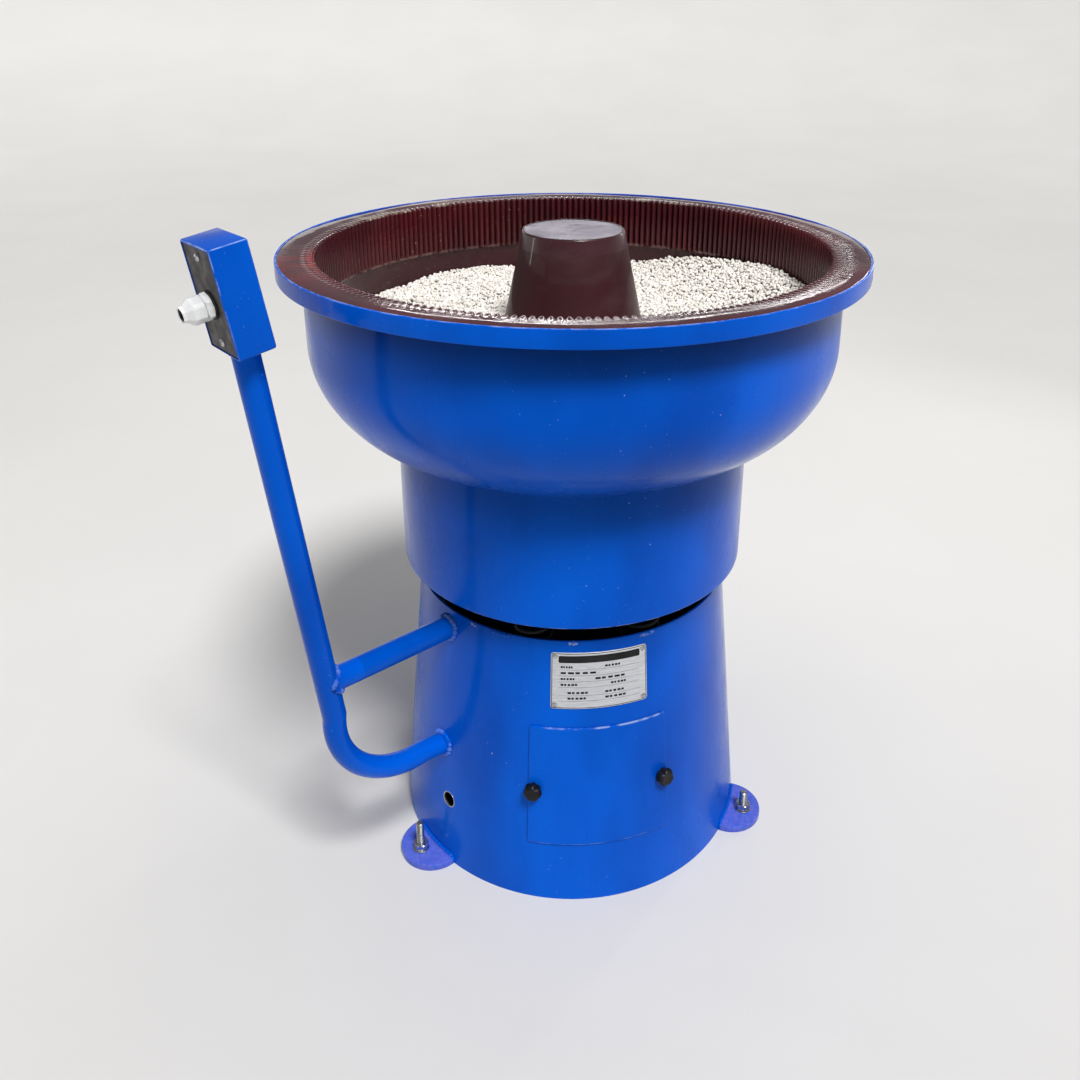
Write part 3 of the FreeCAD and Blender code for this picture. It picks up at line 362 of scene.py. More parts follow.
def polyurethane():
    """Cast polyurethane lining: deep maroon, smeared, glossy on the flat rim, with painted
    shade between the ribs and painted highlights at the ribs' feet."""
    coat = Finish("maroon_polyurethane", Coat_Weight=0.25, Coat_Roughness=0.06, IOR=1.45,
                  Specular_IOR_Level=0.4)
    height = coat.height()
    cloud = coat.span(coat.noise(7, 4), 0.35, 0.7)
    tone = coat.mix(cloud, srgb(62, 17, 24), srgb(88, 24, 30))
    # Painted shade: darker in the valleys between the ribs.
    tone = coat.mix(coat.attribute("valley_shade"), tone, srgb(36, 12, 15))
    below = coat.span(height, RIB_LOW - 0.004, RIB_LOW + 0.002, 1.0, 0.0)
    cone = coat.span(coat.radius(), 0.12, 0.14, 1.0, 0.0)
    tone = coat.mix(coat.times(coat.most(below, cone), 0.85), tone, srgb(50, 15, 21))
    # Painted highlights: pale dots along the ribs' rounded lower ends.
    foot = coat.times(coat.span(height, RIB_LOW - 0.001, RIB_LOW + 0.001),
                      coat.span(height, RIB_LOW + 0.0025, RIB_LOW + 0.0055, 1.0, 0.0))
    foot = coat.times(foot, coat.span(coat.noise(70, 3, shift=7.0), 0.38, 0.6, 0.0, 0.7))
    foot = coat.times(foot, coat.math("SUBTRACT", 1.0, cone))
    tone = coat.mix(foot, tone, srgb(158, 122, 120))
    smear = coat.span(coat.noise(9, 5, (1, 1, 2.5), shift=3.0), 0.55, 0.85, 0.0, 0.3)
    tone = coat.mix(smear, tone, srgb(96, 74, 76))
    on_rim = coat.span(height, RIM_TOP - 0.0032, RIM_TOP - 0.0018)
    patches = coat.most(coat.near(-140, RIM_MIDDLE_R, RIM_TOP, 0.17),
                        coat.near(150, RIM_MIDDLE_R, RIM_TOP, 0.10))
    blotch = coat.span(coat.noise(30, 4, shift=5.0), 0.47, 0.62)
    beige = coat.times(coat.times(patches, on_rim), coat.times(blotch, 0.45))
    # Flat rim greyed: partly rubbed, partly a painted reflection.
    tone = coat.mix(coat.times(on_rim, 0.3), tone, srgb(76, 50, 58))
    tone = coat.mix(beige, tone, srgb(168, 156, 138))
    red = coat.times(coat.near(-80, RIM_MIDDLE_R, RIM_TOP, 0.10), on_rim)
    red = coat.times(red, coat.span(coat.noise(26, 3, shift=6.0), 0.4, 0.65))
    tone = coat.mix(coat.times(red, 0.8), tone, srgb(128, 34, 36))
    speck = coat.times(coat.span(coat.noise(380, 2), 0.72, 0.75),
                       coat.span(coat.noise(6, 2, shift=8.0), 0.5, 0.6))
    coat.set("Base Color", coat.mix(speck, tone, srgb(190, 180, 165)))
    matt = coat.span(coat.noise(11, 5), 0.35, 0.7, 0.26, 0.42)
    dull = coat.math("SUBTRACT", matt, coat.times(on_rim, 0.23))
    coat.set("Roughness", coat.math("ADD", dull, coat.times(cone, 0.24)))
    coat.bump(coat.noise(120, 3), 0.12, 0.0006)
    coat.bump(coat.noise(14, 3), 0.25, 0.003)
    return coat.material


def scuffed_cap():
    """The scuffed top of the cone: grey-lavender, mottled, with fine scratches."""
    cap = Finish("cap_grey", IOR=1.45, Specular_IOR_Level=0.25)
    cloud = cap.span(cap.noise(28, 6), 0.3, 0.72)
    tone = cap.mix(cloud, srgb(108, 102, 114), srgb(160, 155, 164))
    stain = cap.span(cap.noise(55, 4, shift=2.0), 0.55, 0.72, 0.0, 0.6)
    tone = cap.mix(stain, tone, srgb(78, 60, 70))
    scratch = cap.span(cap.noise(70, 2, (1, 14, 1)), 0.62, 0.7, 0.0, 0.35)
    cap.set("Base Color", cap.mix(scratch, tone, srgb(205, 200, 210)))
    cap.set("Roughness", cap.span(cloud, 0, 1, 0.38, 0.62))
    cap.bump(cap.noise(300, 3), 0.25, 0.0004)
    return cap.material


def granules():
    """Cream ceramic granules, each with its own tone, finely pitted."""
    stone = Finish("abrasive_media", IOR=1.5, Specular_IOR_Level=0.35)
    own = stone.attribute("grain")
    tone = stone.mix(own, srgb(218, 212, 203), srgb(252, 249, 244))
    stain = stone.span(stone.noise(260, 3), 0.5, 0.75, 0.0, 0.5)
    tone = stone.mix(stain, tone, srgb(168, 158, 144))
    # Painted shade: the bed under the granules is darkened for the gaps between them.
    tone = stone.mix(stone.attribute("deep"), tone, srgb(104, 94, 84))
    stone.set("Base Color", tone)
    stone.set("Roughness", stone.span(stone.noise(500, 2), 0.3, 0.7, 0.6, 0.85))
    stone.bump(stone.noise(1300, 3), 0.5, 0.0004)
    return stone.material


def metal(name, tone, dull, rough, brush=(1, 1, 1), scale=90.0, paint=0.0):
    """Bare or thinly finished metal with directional wear and darker stains."""
    made = Finish(name, Metallic=1.0 - paint)
    grain = made.noise(scale, 4, brush)
    stain = made.span(made.noise(scale / 5, 5, shift=3.0), 0.45, 0.75)
    base = made.mix(made.span(grain, 0.3, 0.7), tone, dull)
    made.set("Base Color", made.mix(made.times(stain, 0.45), base, dull))
    made.set("Roughness", made.span(grain, 0.3, 0.7, rough, rough + 0.22))
    made.bump(grain, 0.15, 0.0002)
    return made.material


def moulded(name, tone, dull, rough, scale=400.0, coat=0.0, shine=0.5):
    """Moulded plastic or rubber: fine texture, slight colour drift, handling marks."""
    made = Finish(name, IOR=1.46, Coat_Weight=coat, Coat_Roughness=0.15,
                  Specular_IOR_Level=shine)
    drift = made.span(made.noise(scale / 12, 4), 0.35, 0.7)
    made.set("Base Color", made.mix(drift, tone, dull))
    made.set("Roughness", made.span(made.noise(scale / 6, 4, shift=1.0), 0.35, 0.7, rough,
                                    min(rough + 0.25, 1.0)))
    made.bump(made.noise(scale * 2, 2), 0.2, 0.0003)
    return made.material


MATERIALS = {
    "blue_enamel": enamel(),
    "maroon_polyurethane": polyurethane(),
    "cap_grey": scuffed_cap(),
    "abrasive_media": granules(),
    "zinc_steel": metal("zinc_steel", srgb(205, 208, 212), srgb(150, 150, 148), 0.22),
    "nameplate_metal": metal("nameplate_metal", srgb(214, 216, 220), srgb(186, 189, 194), 0.3,
                             (1, 1, 20), 60.0, 0.45),
    "box_cover_dark": metal("box_cover_dark", srgb(66, 58, 58), srgb(40, 36, 38), 0.38,
                            (1, 1, 1), 70.0, 0.8),
    "black_rubber": moulded("black_rubber", srgb(20, 20, 21), srgb(34, 33, 33), 0.6),
    "light_grey_nylon": moulded("light_grey_nylon", srgb(230, 231, 231), srgb(206, 207, 208),
                                0.32, coat=0.2),
    "black_plastic": moulded("black_plastic", srgb(10, 10, 12), srgb(24, 24, 26), 0.42,
                             shine=0.3),
    "bezel_metal": metal("bezel_metal", srgb(205, 206, 210), srgb(160, 162, 166), 0.12),
    "button_green": moulded("button_green", srgb(16, 120, 52), srgb(12, 96, 44), 0.25, coat=0.4),
    "button_red": moulded("button_red", srgb(186, 22, 20), srgb(150, 16, 18), 0.25, coat=0.4),
    "motor_paint": metal("motor_paint", srgb(92, 98, 104), srgb(70, 74, 80), 0.45, (1, 1, 1),
                         45.0, 0.9),
    "bearing_steel": metal("bearing_steel", srgb(190, 192, 196), srgb(150, 152, 156), 0.18,
                           (1, 1, 12)),
    "stator_laminations": metal("stator_laminations", srgb(120, 100, 84), srgb(84, 70, 62), 0.4,
                                (1, 1, 60), 40.0, 0.4),
    "weight_steel": metal("weight_steel", srgb(110, 112, 116), srgb(74, 74, 78), 0.35),
    # Blackened steel; on the springs its dark tone is partly painted shade for the unlit inside of
    # the base.
    "black_steel": metal("black_steel", srgb(26, 27, 30), srgb(44, 44, 46), 0.35, (1, 1, 1),
                         60.0, 0.85),
}

for row in frame["record"]["subparts"]:
    cad_mesh = frame["nodes"][row["node"]].data
    cad_mesh.materials.clear()
    cad_mesh.materials.append(MATERIALS[row["material_slot"]])


# ---- mesh helpers ----
def fill_mesh(name, points, faces):
    """A mesh from an array of points and an array of faces with equal corners."""
    mesh = bpy.data.meshes.new(name)
    count, corners = faces.shape
    mesh.vertices.add(len(points))
    mesh.vertices.foreach_set("co", np.asarray(points, np.float32).ravel())
    mesh.loops.add(count * corners)
    mesh.loops.foreach_set("vertex_index", faces.astype(np.int32).ravel())
    mesh.polygons.add(count)
    mesh.polygons.foreach_set("loop_start", np.arange(0, count * corners, corners, dtype=np.int32))
    mesh.update(calc_edges=True)
    mesh.validate()
    return mesh


def weld_points(mesh):
    """Join points that meet and turn every face outward."""
    work = bmesh.new()
    work.from_mesh(mesh)
    bmesh.ops.remove_doubles(work, verts=work.verts, dist=2e-6)
    bmesh.ops.recalc_face_normals(work, faces=work.faces)
    work.to_mesh(mesh)
    work.free()


def mark(mesh, name, values):
    """Store a number at each point, for the materials to read."""
    layer = mesh.attributes.new(name, "FLOAT", "POINT")
    layer.data.foreach_set("value", np.asarray(values, np.float32))


def points_of(mesh):
    found = np.zeros(len(mesh.vertices) * 3)
    mesh.vertices.foreach_get("co", found)
    return found.reshape(-1, 3)


def add_piece(name, mesh, body, slot, replaced=(), sharp=40.0):
    """Put a finished mesh in the scene, riding on a body in a material slot."""
    mesh.materials.clear()
    mesh.materials.append(MATERIALS[slot])
    mesh.shade_smooth()
    mesh.set_sharp_from_angle(angle=math.radians(sharp))
    piece = linked(name, mesh)
    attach(piece, body)
    if replaced:
        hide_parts(*replaced)
    return piece


def rounded(outline, radius, steps=4):
    """The closed outline with its corners rounded by one radius, or by one for each."""
    radii = radius if isinstance(radius, (list, tuple)) else [radius] * len(outline)
    points = []
    for i, corner in enumerate(outline):
        corner = Vector(corner)
        before = (Vector(outline[i - 1]) - corner).normalized() * radii[i]
        after = (Vector(outline[(i + 1) % len(outline)]) - corner).normalized() * radii[i]
        stages = [k / steps for k in range(steps + 1)] if radii[i] else [0]
        points += [tuple(corner + before * (1 - t) ** 2 + after * t ** 2) for t in stages]
    return points


def grid_faces(rows, columns, close_rows, close_columns):
    """Quads over a grid of points, joined end to end where asked."""
    i = np.arange(rows if close_rows else rows - 1)[:, None]
    j = np.arange(columns if close_columns else columns - 1)[None, :]
    i_next, j_next = (i + 1) % rows, (j + 1) % columns
    corners = [i * columns + j, i * columns + j_next, i_next * columns + j_next,
               i_next * columns + j]
    return np.stack([np.broadcast_to(c, (i.shape[0], j.shape[1])).ravel() for c in corners], 1)


def lathe(name, outline, columns, shape=None):
    """A closed (radius, height) outline turned round the axis. shape may change the
    radii and heights from row numbers and azimuths."""
    outline = np.array(outline, float)
    azimuth = np.arange(columns)[None, :] * (2 * math.pi / columns)
    radius = np.repeat(outline[:, :1], columns, 1)
    height = np.repeat(outline[:, 1:2], columns, 1)
    if shape:
        radius, height = shape(radius, height, azimuth)
    points = np.stack([radius * np.sin(azimuth), -radius * np.cos(azimuth), height], 2)
    mesh = fill_mesh(name, points.reshape(-1, 3), grid_faces(len(outline), columns, True, True))
    weld_points(mesh)
    return mesh


def drill(radius, low, high, sides=48):
    """A plain rod along the axis, for cutting a hole."""
    return lathe("drill", [(0, low), (radius, low), (radius, high), (0, high)], sides)


def placed(mesh, matrix):
    mesh.transform(matrix)
    return mesh


def joined(name, meshes):
    """One mesh from several."""
    work = bmesh.new()
    for mesh in meshes:
        work.from_mesh(mesh)
    result = bpy.data.meshes.new(name)
    work.to_mesh(result)
    work.free()
    return result


def carved(mesh, cutters):
    """The mesh with each cutter's space taken out."""
    body = linked("carved", mesh)
    tools = []
    for cutter in cutters:
        tool = linked("cutter", cutter)
        tools.append(tool)
        cut = body.modifiers.new("cut", "BOOLEAN")
        cut.object = tool
        cut.solver = "EXACT"
    view = bpy.context.evaluated_depsgraph_get()
    result = bpy.data.meshes.new_from_object(body.evaluated_get(view))
    result.name = mesh.name
    for spare in [body, *tools]:
        bpy.data.objects.remove(spare)
    return result


def sheet_axis(half, edge, corner, splits):
    """Places across a plate: close together at its rounded edges and corners."""
    near_edge = [0, 0.12 * edge, 0.35 * edge, 0.65 * edge, edge]
    in_corner = [edge + (corner - edge) * k / 4 for k in range(1, 5)] if corner > edge else []
    side = [half - d for d in near_edge + in_corner]
    inside = list(np.linspace(-side[-1], side[-1], splits + 1)[1:-1])
    return np.array(sorted([-s for s in side] + inside + side))


def plate(name, half_width, half_height, thickness, edge, corner, place, splits=(24, 10)):
    """A plate with rounded corners and a rounded upper edge. place turns arrays of
    across, along and height above the seat into points."""
    across = sheet_axis(half_width, edge, corner, splits[0])[None, :]
    along = sheet_axis(half_height, edge, corner, splits[1])[:, None]
    across, along = np.broadcast_arrays(across, along)
    over_x = np.maximum(np.abs(across) - (half_width - corner), 0)
    over_y = np.maximum(np.abs(along) - (half_height - corner), 0)
    reach = np.hypot(over_x, over_y)
    pull = np.where(reach > 0, np.maximum(over_x, over_y) / np.maximum(reach, 1e-9), 1)
    x = across - np.sign(across) * over_x * (1 - pull)
    y = along - np.sign(along) * over_y * (1 - pull)
    to_edge = np.where((over_x > 0) & (over_y > 0), corner - reach * pull,
                       np.minimum(half_width - np.abs(x), half_height - np.abs(y)))
    drop = 1 - np.clip(to_edge / edge, 0, 1)
    upper = thickness - edge * (1 - np.sqrt(1 - drop ** 2))
    rows, columns = across.shape
    points = np.concatenate([place(x, y, upper).reshape(-1, 3),
                             place(x, y, np.zeros_like(upper)).reshape(-1, 3)])
    top = grid_faces(rows, columns, False, False)
    ring = ([(0, j) for j in range(columns)] + [(i, columns - 1) for i in range(1, rows)]
            + [(rows - 1, j) for j in range(columns - 2, -1, -1)]
            + [(i, 0) for i in range(rows - 2, 0, -1)])
    loop = np.array([i * columns + j for i, j in ring])
    after = np.roll(loop, -1)
    size = rows * columns
    side = np.stack([loop, after, after + size, loop + size], 1)
    mesh = fill_mesh(name, points, np.concatenate([top, top + size, side]))
    weld_points(mesh)
    return mesh


def tube(name, path, radius, closed=False, sides=10, ripple=0.0, ripple_length=0.004):
    """A bead along a path of points: weld metal with ripples and rounded ends."""
    path = np.array(path, float)
    ahead = (np.roll(path, -1, 0) - np.roll(path, 1, 0)) if closed else np.gradient(path, axis=0)
    ahead /= np.linalg.norm(ahead, axis=1)[:, None]
    side = np.cross(ahead, (0.0, 0.0, 1.0))
    weak = np.linalg.norm(side, axis=1) < 0.2
    side[weak] = np.cross(ahead[weak], (1.0, 0.0, 0.0))
    side /= np.linalg.norm(side, axis=1)[:, None]
    other = np.cross(side, ahead)
    steps = np.linalg.norm(np.diff(path, axis=0, prepend=path[:1]), axis=1)
    travelled = np.cumsum(steps)
    size = radius * (1 + ripple * np.sin(travelled * 2 * math.pi / ripple_length)
                     + 0.5 * ripple * np.sin(travelled * 5.3 / ripple_length))
    if not closed:
        from_end = np.minimum(travelled, travelled[-1] - travelled)
        size = size * np.sqrt(np.clip(from_end / radius, 0.0, 1.0))
    turn = np.arange(sides) * 2 * math.pi / sides
    points = (path[:, None, :] + size[:, None, None]
              * (np.cos(turn)[None, :, None] * side[:, None, :]
                 + np.sin(turn)[None, :, None] * other[:, None, :]))
    mesh = fill_mesh(name, points.reshape(-1, 3), grid_faces(len(path), sides, closed, True))
    weld_points(mesh)
    return mesh


def hexed(across_flats):
    """A lathe shape that cuts a turned outline to a hexagon's flats."""
    def shape(radius, height, azimuth):
        turn = np.mod(azimuth + math.pi / 6, math.pi / 3) - math.pi / 6
        return np.minimum(radius, across_flats / 2 / np.cos(turn)), height
    return shape


# ---- surfaces that pieces sit on ----
def base_r(z):
    return BASE_R - (BASE_R - BASE_TOP_R) * z / BASE_TOP


def to_azimuth(degrees):
    return turned(math.radians(degrees - 90), "Z")


def on_base(azimuth, z):
    """From a piece built along +Z to its place standing on the base."""
    return (to_azimuth(azimuth) @ moved(base_r(z), 0, z)
            @ turned(math.pi / 2 - BASE_SLOPE, "Y"))


ON_ARM = (to_azimuth(ARM_AZIMUTH) @ moved(BOX_BOTTOM_R, 0, BOX_BOTTOM_Z)
          @ turned(BOX_LEAN, "Y"))


def out_of_cover(z, x=BOX_COVER_X):
    return ON_ARM @ moved(x, 0, z) @ turned(math.pi / 2, "Y")


def out_of_back(z):
    return (ON_ARM @ moved(-BOX_D / 2, 0, z)
            @ turned(-math.pi / 2, "Y"))


def base_sheet(z_middle, gap):
    """A place function for plates that lie on the base cone."""
    def place(across, along, height):
        z = z_middle + along * math.cos(BASE_SLOPE)
        azimuth = across / base_r(z_middle)
        out = base_r(z) + (gap + height) / math.cos(BASE_SLOPE)
        return np.stack([out * np.sin(azimuth), -out * np.cos(azimuth), z], -1)
    return place


# ---- bowl ----
def ellipse_wall(offset, count):
    """The wall's lower curve from its bend down to the trough's lowest ring."""
    wide, deep = WALL_R + offset - TROUGH_R, WALL_BEND_Z - TROUGH_Z + offset
    turns = np.linspace(0, math.pi / 2, count)
    return [(TROUGH_R + wide * math.cos(t), WALL_BEND_Z - deep * math.sin(t)) for t in turns]


def cone_face(offset, top, count):
    """The cone's face from the trough's lowest ring up to a height."""
    slant = math.sqrt(1 + CONE_SLOPE ** 2)
    reach = TROUGH_R - CONE_TOP_R - CONE_SLOPE * (CONE_TOP_Z - TROUGH_Z)
    arc = reach / (slant - CONE_SLOPE)
    end = math.atan2(1, CONE_SLOPE)
    size = arc + offset
    curve = [(TROUGH_R - size * math.sin(t), TROUGH_Z + arc - size * math.cos(t))
             for t in np.linspace(0, end, count)]
    r, z = curve[-1]
    return curve + [(r - CONE_SLOPE * (top - z), top)]


def make_rim_band():
    """The rolled band round the rim, with two small welds under its face."""
    low = BAND_LOW.z
    outline = rounded([(RIM_R, RIM_TOP), (RIM_R, low), (RIM_R - BAND_T, low),
                       (RIM_R - BAND_T, RIM_TOP)], [0.0012, 0.0011, 0.0008, 0.0006])

    def shape(radius, height, azimuth):
        wave = 0.00025 * np.sin(5 * azimuth) + 0.0002 * np.sin(13 * azimuth + 1)
        inward = np.zeros_like(azimuth)
        for degrees in RIM_WELD_AZIMUTHS:
            away = np.mod(azimuth - math.radians(degrees) + math.pi, 2 * math.pi) - math.pi
            inward = inward + 0.0006 * np.exp(-(away / 0.012) ** 2)
        return radius - np.abs(wave) * 0.6 - inward, height
    mesh = lathe("rim_band_rolled", outline, 360, shape)
    places = points_of(mesh)
    # Pale top edge of the band: partly rubbed paint, partly a painted highlight.
    mark(mesh, "wear_and_glint", np.clip((places[:, 2] - RIM_TOP + 0.0006) / 0.0005, 0, 1) * 0.3)
    add_piece("rim_band_rolled", mesh, "bowl", "blue_enamel", ["rim_band"])
    for number, degrees in enumerate(RIM_WELD_AZIMUTHS, 1):
        angle = math.radians(degrees)
        turns = np.linspace(-0.007, 0.007, 9)
        path = [around_axis(angle + t, RIM_R - 0.0022, low + 0.0105 - 0.004 * math.cos(t * 220))
                for t in turns]
        bead = tube("rim_weld_%d" % number, path, 0.0021, ripple=0.2)
        add_piece(bead.name, bead, "bowl", "blue_enamel")


def rib_rows():
    """Rows of the ribbed wall: radius and height in the valleys, then the ribs' depth and
    their rise. The valleys round off into the rim while the ribs run on to the top."""
    rows = []
    for t in np.linspace(0, math.pi / 2, 5):
        rise = RIB_ROUNDING * (1 - math.cos(t))
        rows.append((WALL_R, RIB_LOW + rise, RIB_DEPTH * math.sin(t), 0))
    rows.append((WALL_R, (RIB_LOW + RIM_TOP) / 2, RIB_DEPTH, 0))
    for (out, drop), (crest_out, crest_drop) in zip(LIP_VALLEY, LIP_CREST):
        rows.append((WALL_R + out, RIM_TOP - drop, out - crest_out, drop - crest_drop))
    return rows


def make_lining():
    """The wall lining and flat rim with its half-round ribs, one casting."""
    outer_r = RIM_R - BAND_T - BOND_GAP
    smooth = [(r, z, 0, 0) for r, z in reversed(ellipse_wall(0, 14))]
    back = [(r, z, 0, 0) for r, z in ellipse_wall(LINING_T, 10)]
    rim = [(0.5 * (LIP_R + outer_r), RIM_TOP - 0.0001), (outer_r - 0.0012, RIM_TOP),
           (outer_r - 0.0003, RIM_TOP - 0.0003), (outer_r, RIM_TOP - 0.0012),
           (outer_r, RIM_TOP - 0.003), (WALL_R + LINING_T, RIM_TOP - 0.003)]
    rows = (smooth + [(WALL_R, RIB_LOW - 0.008, 0, 0)] + rib_rows()
            + [(r, z, 0, 0) for r, z in rim] + back)
    outline = [row[:2] for row in rows]
    depth, rise = (np.array([row[k] for row in rows])[:, None] for k in (2, 3))
    columns = RIB_COUNT * RIB_SAMPLES

    def shape(radius, height, azimuth):
        phase = np.mod(azimuth * RIB_COUNT / (2 * math.pi), 1.0) - 0.5
        swell = np.sqrt(np.clip(1 - (phase / 0.41) ** 2, 0, 1))
        sway = 0.0002 * np.sin(3 * azimuth) * (depth > 0)
        flat = (height > RIM_TOP - 0.0007) & (radius > LIP_R)
        level = 0.00025 * (np.sin(4 * azimuth + 1) + np.sin(9 * azimuth) - 2) * flat
        return radius - depth * swell + sway, height + rise * swell + level
    mesh = lathe("lining_wall", outline, columns, shape)
    places = points_of(mesh)
    radius = np.hypot(places[:, 0], places[:, 1])
    in_band = (places[:, 2] > RIB_LOW) & (places[:, 2] < RIM_TOP - 0.002)
    # Painted shade: the valleys between the ribs are marked for a darker tone.
    mark(mesh, "valley_shade", np.where(in_band, np.clip((radius - 0.2985) / 0.003, 0, 1) * 0.8, 0))
    add_piece("lining_wall", mesh, "bowl", "maroon_polyurethane", ["bowl_liner", "rim_coat"], 70)


def make_cone():
    """The lining's cone with a soft top edge, and the scuffed cap set into it."""
    top_r = CAP_R + BOND_GAP
    face = cone_face(0, CONE_TOP_Z, 14)
    back = cone_face(LINING_T, CONE_TOP_Z - 0.006, 10)
    crown = rounded([(CONE_TOP_R + CONE_SLOPE * 0.05, CONE_TOP_Z - 0.05),
                     (CONE_TOP_R, CONE_TOP_Z), (top_r, CONE_TOP_Z), (top_r, CAP_LOW)],
                    [0, 0.0026, 0.001, 0])
    levels = [(CONE_TOP_R + CONE_SLOPE * (CONE_TOP_Z - z), z) for z in np.linspace(0.62, 0.72, 6)]
    outline = face[:-1] + levels + crown + back[::-1]
    outline = [(min(r, TROUGH_R - BOND_GAP), z) for r, z in outline]

    def shape(radius, height, azimuth):
        wobble = 0.0003 * np.sin(3 * azimuth + height * 60) + 0.0002 * np.sin(7 * azimuth)
        return radius - np.abs(wobble) * (radius > top_r + 0.002), height
    mesh = lathe("lining_cone", outline, 160, shape)
    add_piece("lining_cone", mesh, "bowl", "maroon_polyurethane", ["cone_liner"])
    disc = rounded([(CAP_R, CAP_TOP), (CAP_R, CAP_LOW), (0, CAP_LOW)], [0.0012, 0.0008, 0])
    disc += [(0, CAP_TOP)] + [(CAP_R * k / 8, CAP_TOP) for k in range(1, 8)]

    def dish(radius, height, azimuth):
        upper = height > CAP_LOW + 0.003
        ripple = np.sin(azimuth * 2 + radius * 90) + np.sin(azimuth * 5 - radius * 140)
        return radius, height - upper * 0.0003 * (1 - 0.5 * ripple) * (radius > 0)
    add_piece("cone_top", lathe("cone_top", disc, 96, dish), "bowl", "cap_grey", ["cone_cap"])


def make_steel_bowl():
    """The pressed steel bowl under the lining."""
    top = RIM_TOP - 0.0032
    outer = ellipse_wall(LINING_T + STEEL_T, 40)
    inner = ellipse_wall(LINING_T + BOND_GAP, 24)[::-1]
    wall = WALL_R + LINING_T
    outline = ([(wall + STEEL_T, z) for z in np.linspace(top, WALL_BEND_Z + 0.01, 6)]
               + outer + inner + [(wall + BOND_GAP, top)])

    def shape(radius, height, azimuth):
        dent = (np.sin(3 * azimuth + 0.6) * np.sin(height * 24) + 0.6 * np.sin(7 * azimuth + 2)
                * np.sin(height * 41 + 1))
        return radius - 0.0004 * (1 + dent) * (radius > 0.2), height
    mesh = lathe("bowl_pressing", outline, 300, shape)
    add_piece("bowl_pressing", mesh, "bowl", "blue_enamel", ["bowl_shell"])


def make_skirt():
    """The skirt with its rolled lower edge and the fillet weld under the bowl."""
    low, in_r = SKIRT_LOW.z, SKIRT_R - SKIRT_T
    outline = rounded([(SKIRT_R, bowl_underside(SKIRT_R) - 0.0002), (SKIRT_R, low), (in_r, low),
                       (in_r, bowl_underside(in_r) - 0.0002)], [0, 0.0015, 0.0012, 0])
    levels = [(SKIRT_R, z) for z in np.linspace(bowl_underside(SKIRT_R) - 0.01, low + 0.01, 12)]
    outline = outline[:1] + levels + outline[1:]

    def shape(radius, height, azimuth):
        dent = np.sin(2 * azimuth + 1) * np.sin(height * 30) + 0.5 * np.sin(5 * azimuth)
        return radius - 0.0003 * (1.5 + dent) * (radius > in_r + 0.003), height
    mesh = lathe("skirt_rolled", outline, 240, shape)
    places = points_of(mesh)
    mark(mesh, "wear_and_glint", np.clip((low + 0.0013 - places[:, 2]) / 0.001, 0, 1) * 0.7)
    add_piece("skirt_rolled", mesh, "bowl", "blue_enamel", ["skirt_shell"])
    turns = np.linspace(0, 2 * math.pi, 720, endpoint=False)
    z = bowl_underside(SKIRT_R)
    path = [around_axis(t, SKIRT_R + 0.0002, z + 0.0001 * math.sin(31 * t)) for t in turns]
    bead = tube("skirt_weld", path, 0.0018, closed=True, ripple=0.05, ripple_length=0.02)
    add_piece("skirt_weld", bead, "bowl", "blue_enamel")


# ---- media ----
def media_height(x, y):
    """Height of the heap: level at the back, banked up at the right, low at the left."""
    bank = x * math.sin(MEDIA_HIGH_AZ) - y * math.cos(MEDIA_HIGH_AZ) - MEDIA_BANK_START
    rise = MEDIA_BANK_SLOPE * (bank + np.sqrt(bank ** 2 + 0.0009)) / 2
    dip = 0.008 * np.clip((-x - 0.15) / 0.12, 0, 1)
    waves = 0.002 * np.sin(x * 21 + 1) * np.sin(y * 17) + 0.0012 * np.sin(x * 55) * np.sin(y * 47)
    return MEDIA_LEVEL + rise - dip + waves


def media_limit(z):
    """Radius that the granules stay inside, at the wall or at the rib tips."""
    return np.where(z > RIB_LOW - GRAIN_R, WALL_R - RIB_DEPTH, WALL_R) - 0.0004


def make_media_bed():
    """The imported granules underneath, closed at a depth that nothing sees."""
    rings = np.linspace(0.078, WALL_R - 0.0052, 40)
    outline = [(r, 1.0) for r in rings] + [(r, 0.0) for r in rings[::-5]]

    def shape(radius, height, azimuth):
        x, y = radius * np.sin(azimuth), -radius * np.cos(azimuth)
        top = media_height(x, y) - 0.0032
        return radius, np.where(height > 0.5, top, top - 0.022)
    mesh = lathe("media_bed", outline, 240, shape)
    # Painted shade for the gaps between the granules.
    mark(mesh, "deep", np.full(len(mesh.vertices), 0.85))
    add_piece("media_bed", mesh, "bowl", "abrasive_media", ["media_load"])


def grain_shapes(count):
    """Lumpy little stones: balls with their points moved in and out."""
    work = bmesh.new()
    bmesh.ops.create_icosphere(work, subdivisions=2, radius=1)
    ball = np.array([v.co[:] for v in work.verts])
    faces = np.array([[v.index for v in f.verts] for f in work.faces])
    work.free()
    lumps = 1 + RANDOM.uniform(-0.17, 0.12, (count, len(ball), 1))
    return ball[None] * lumps, faces


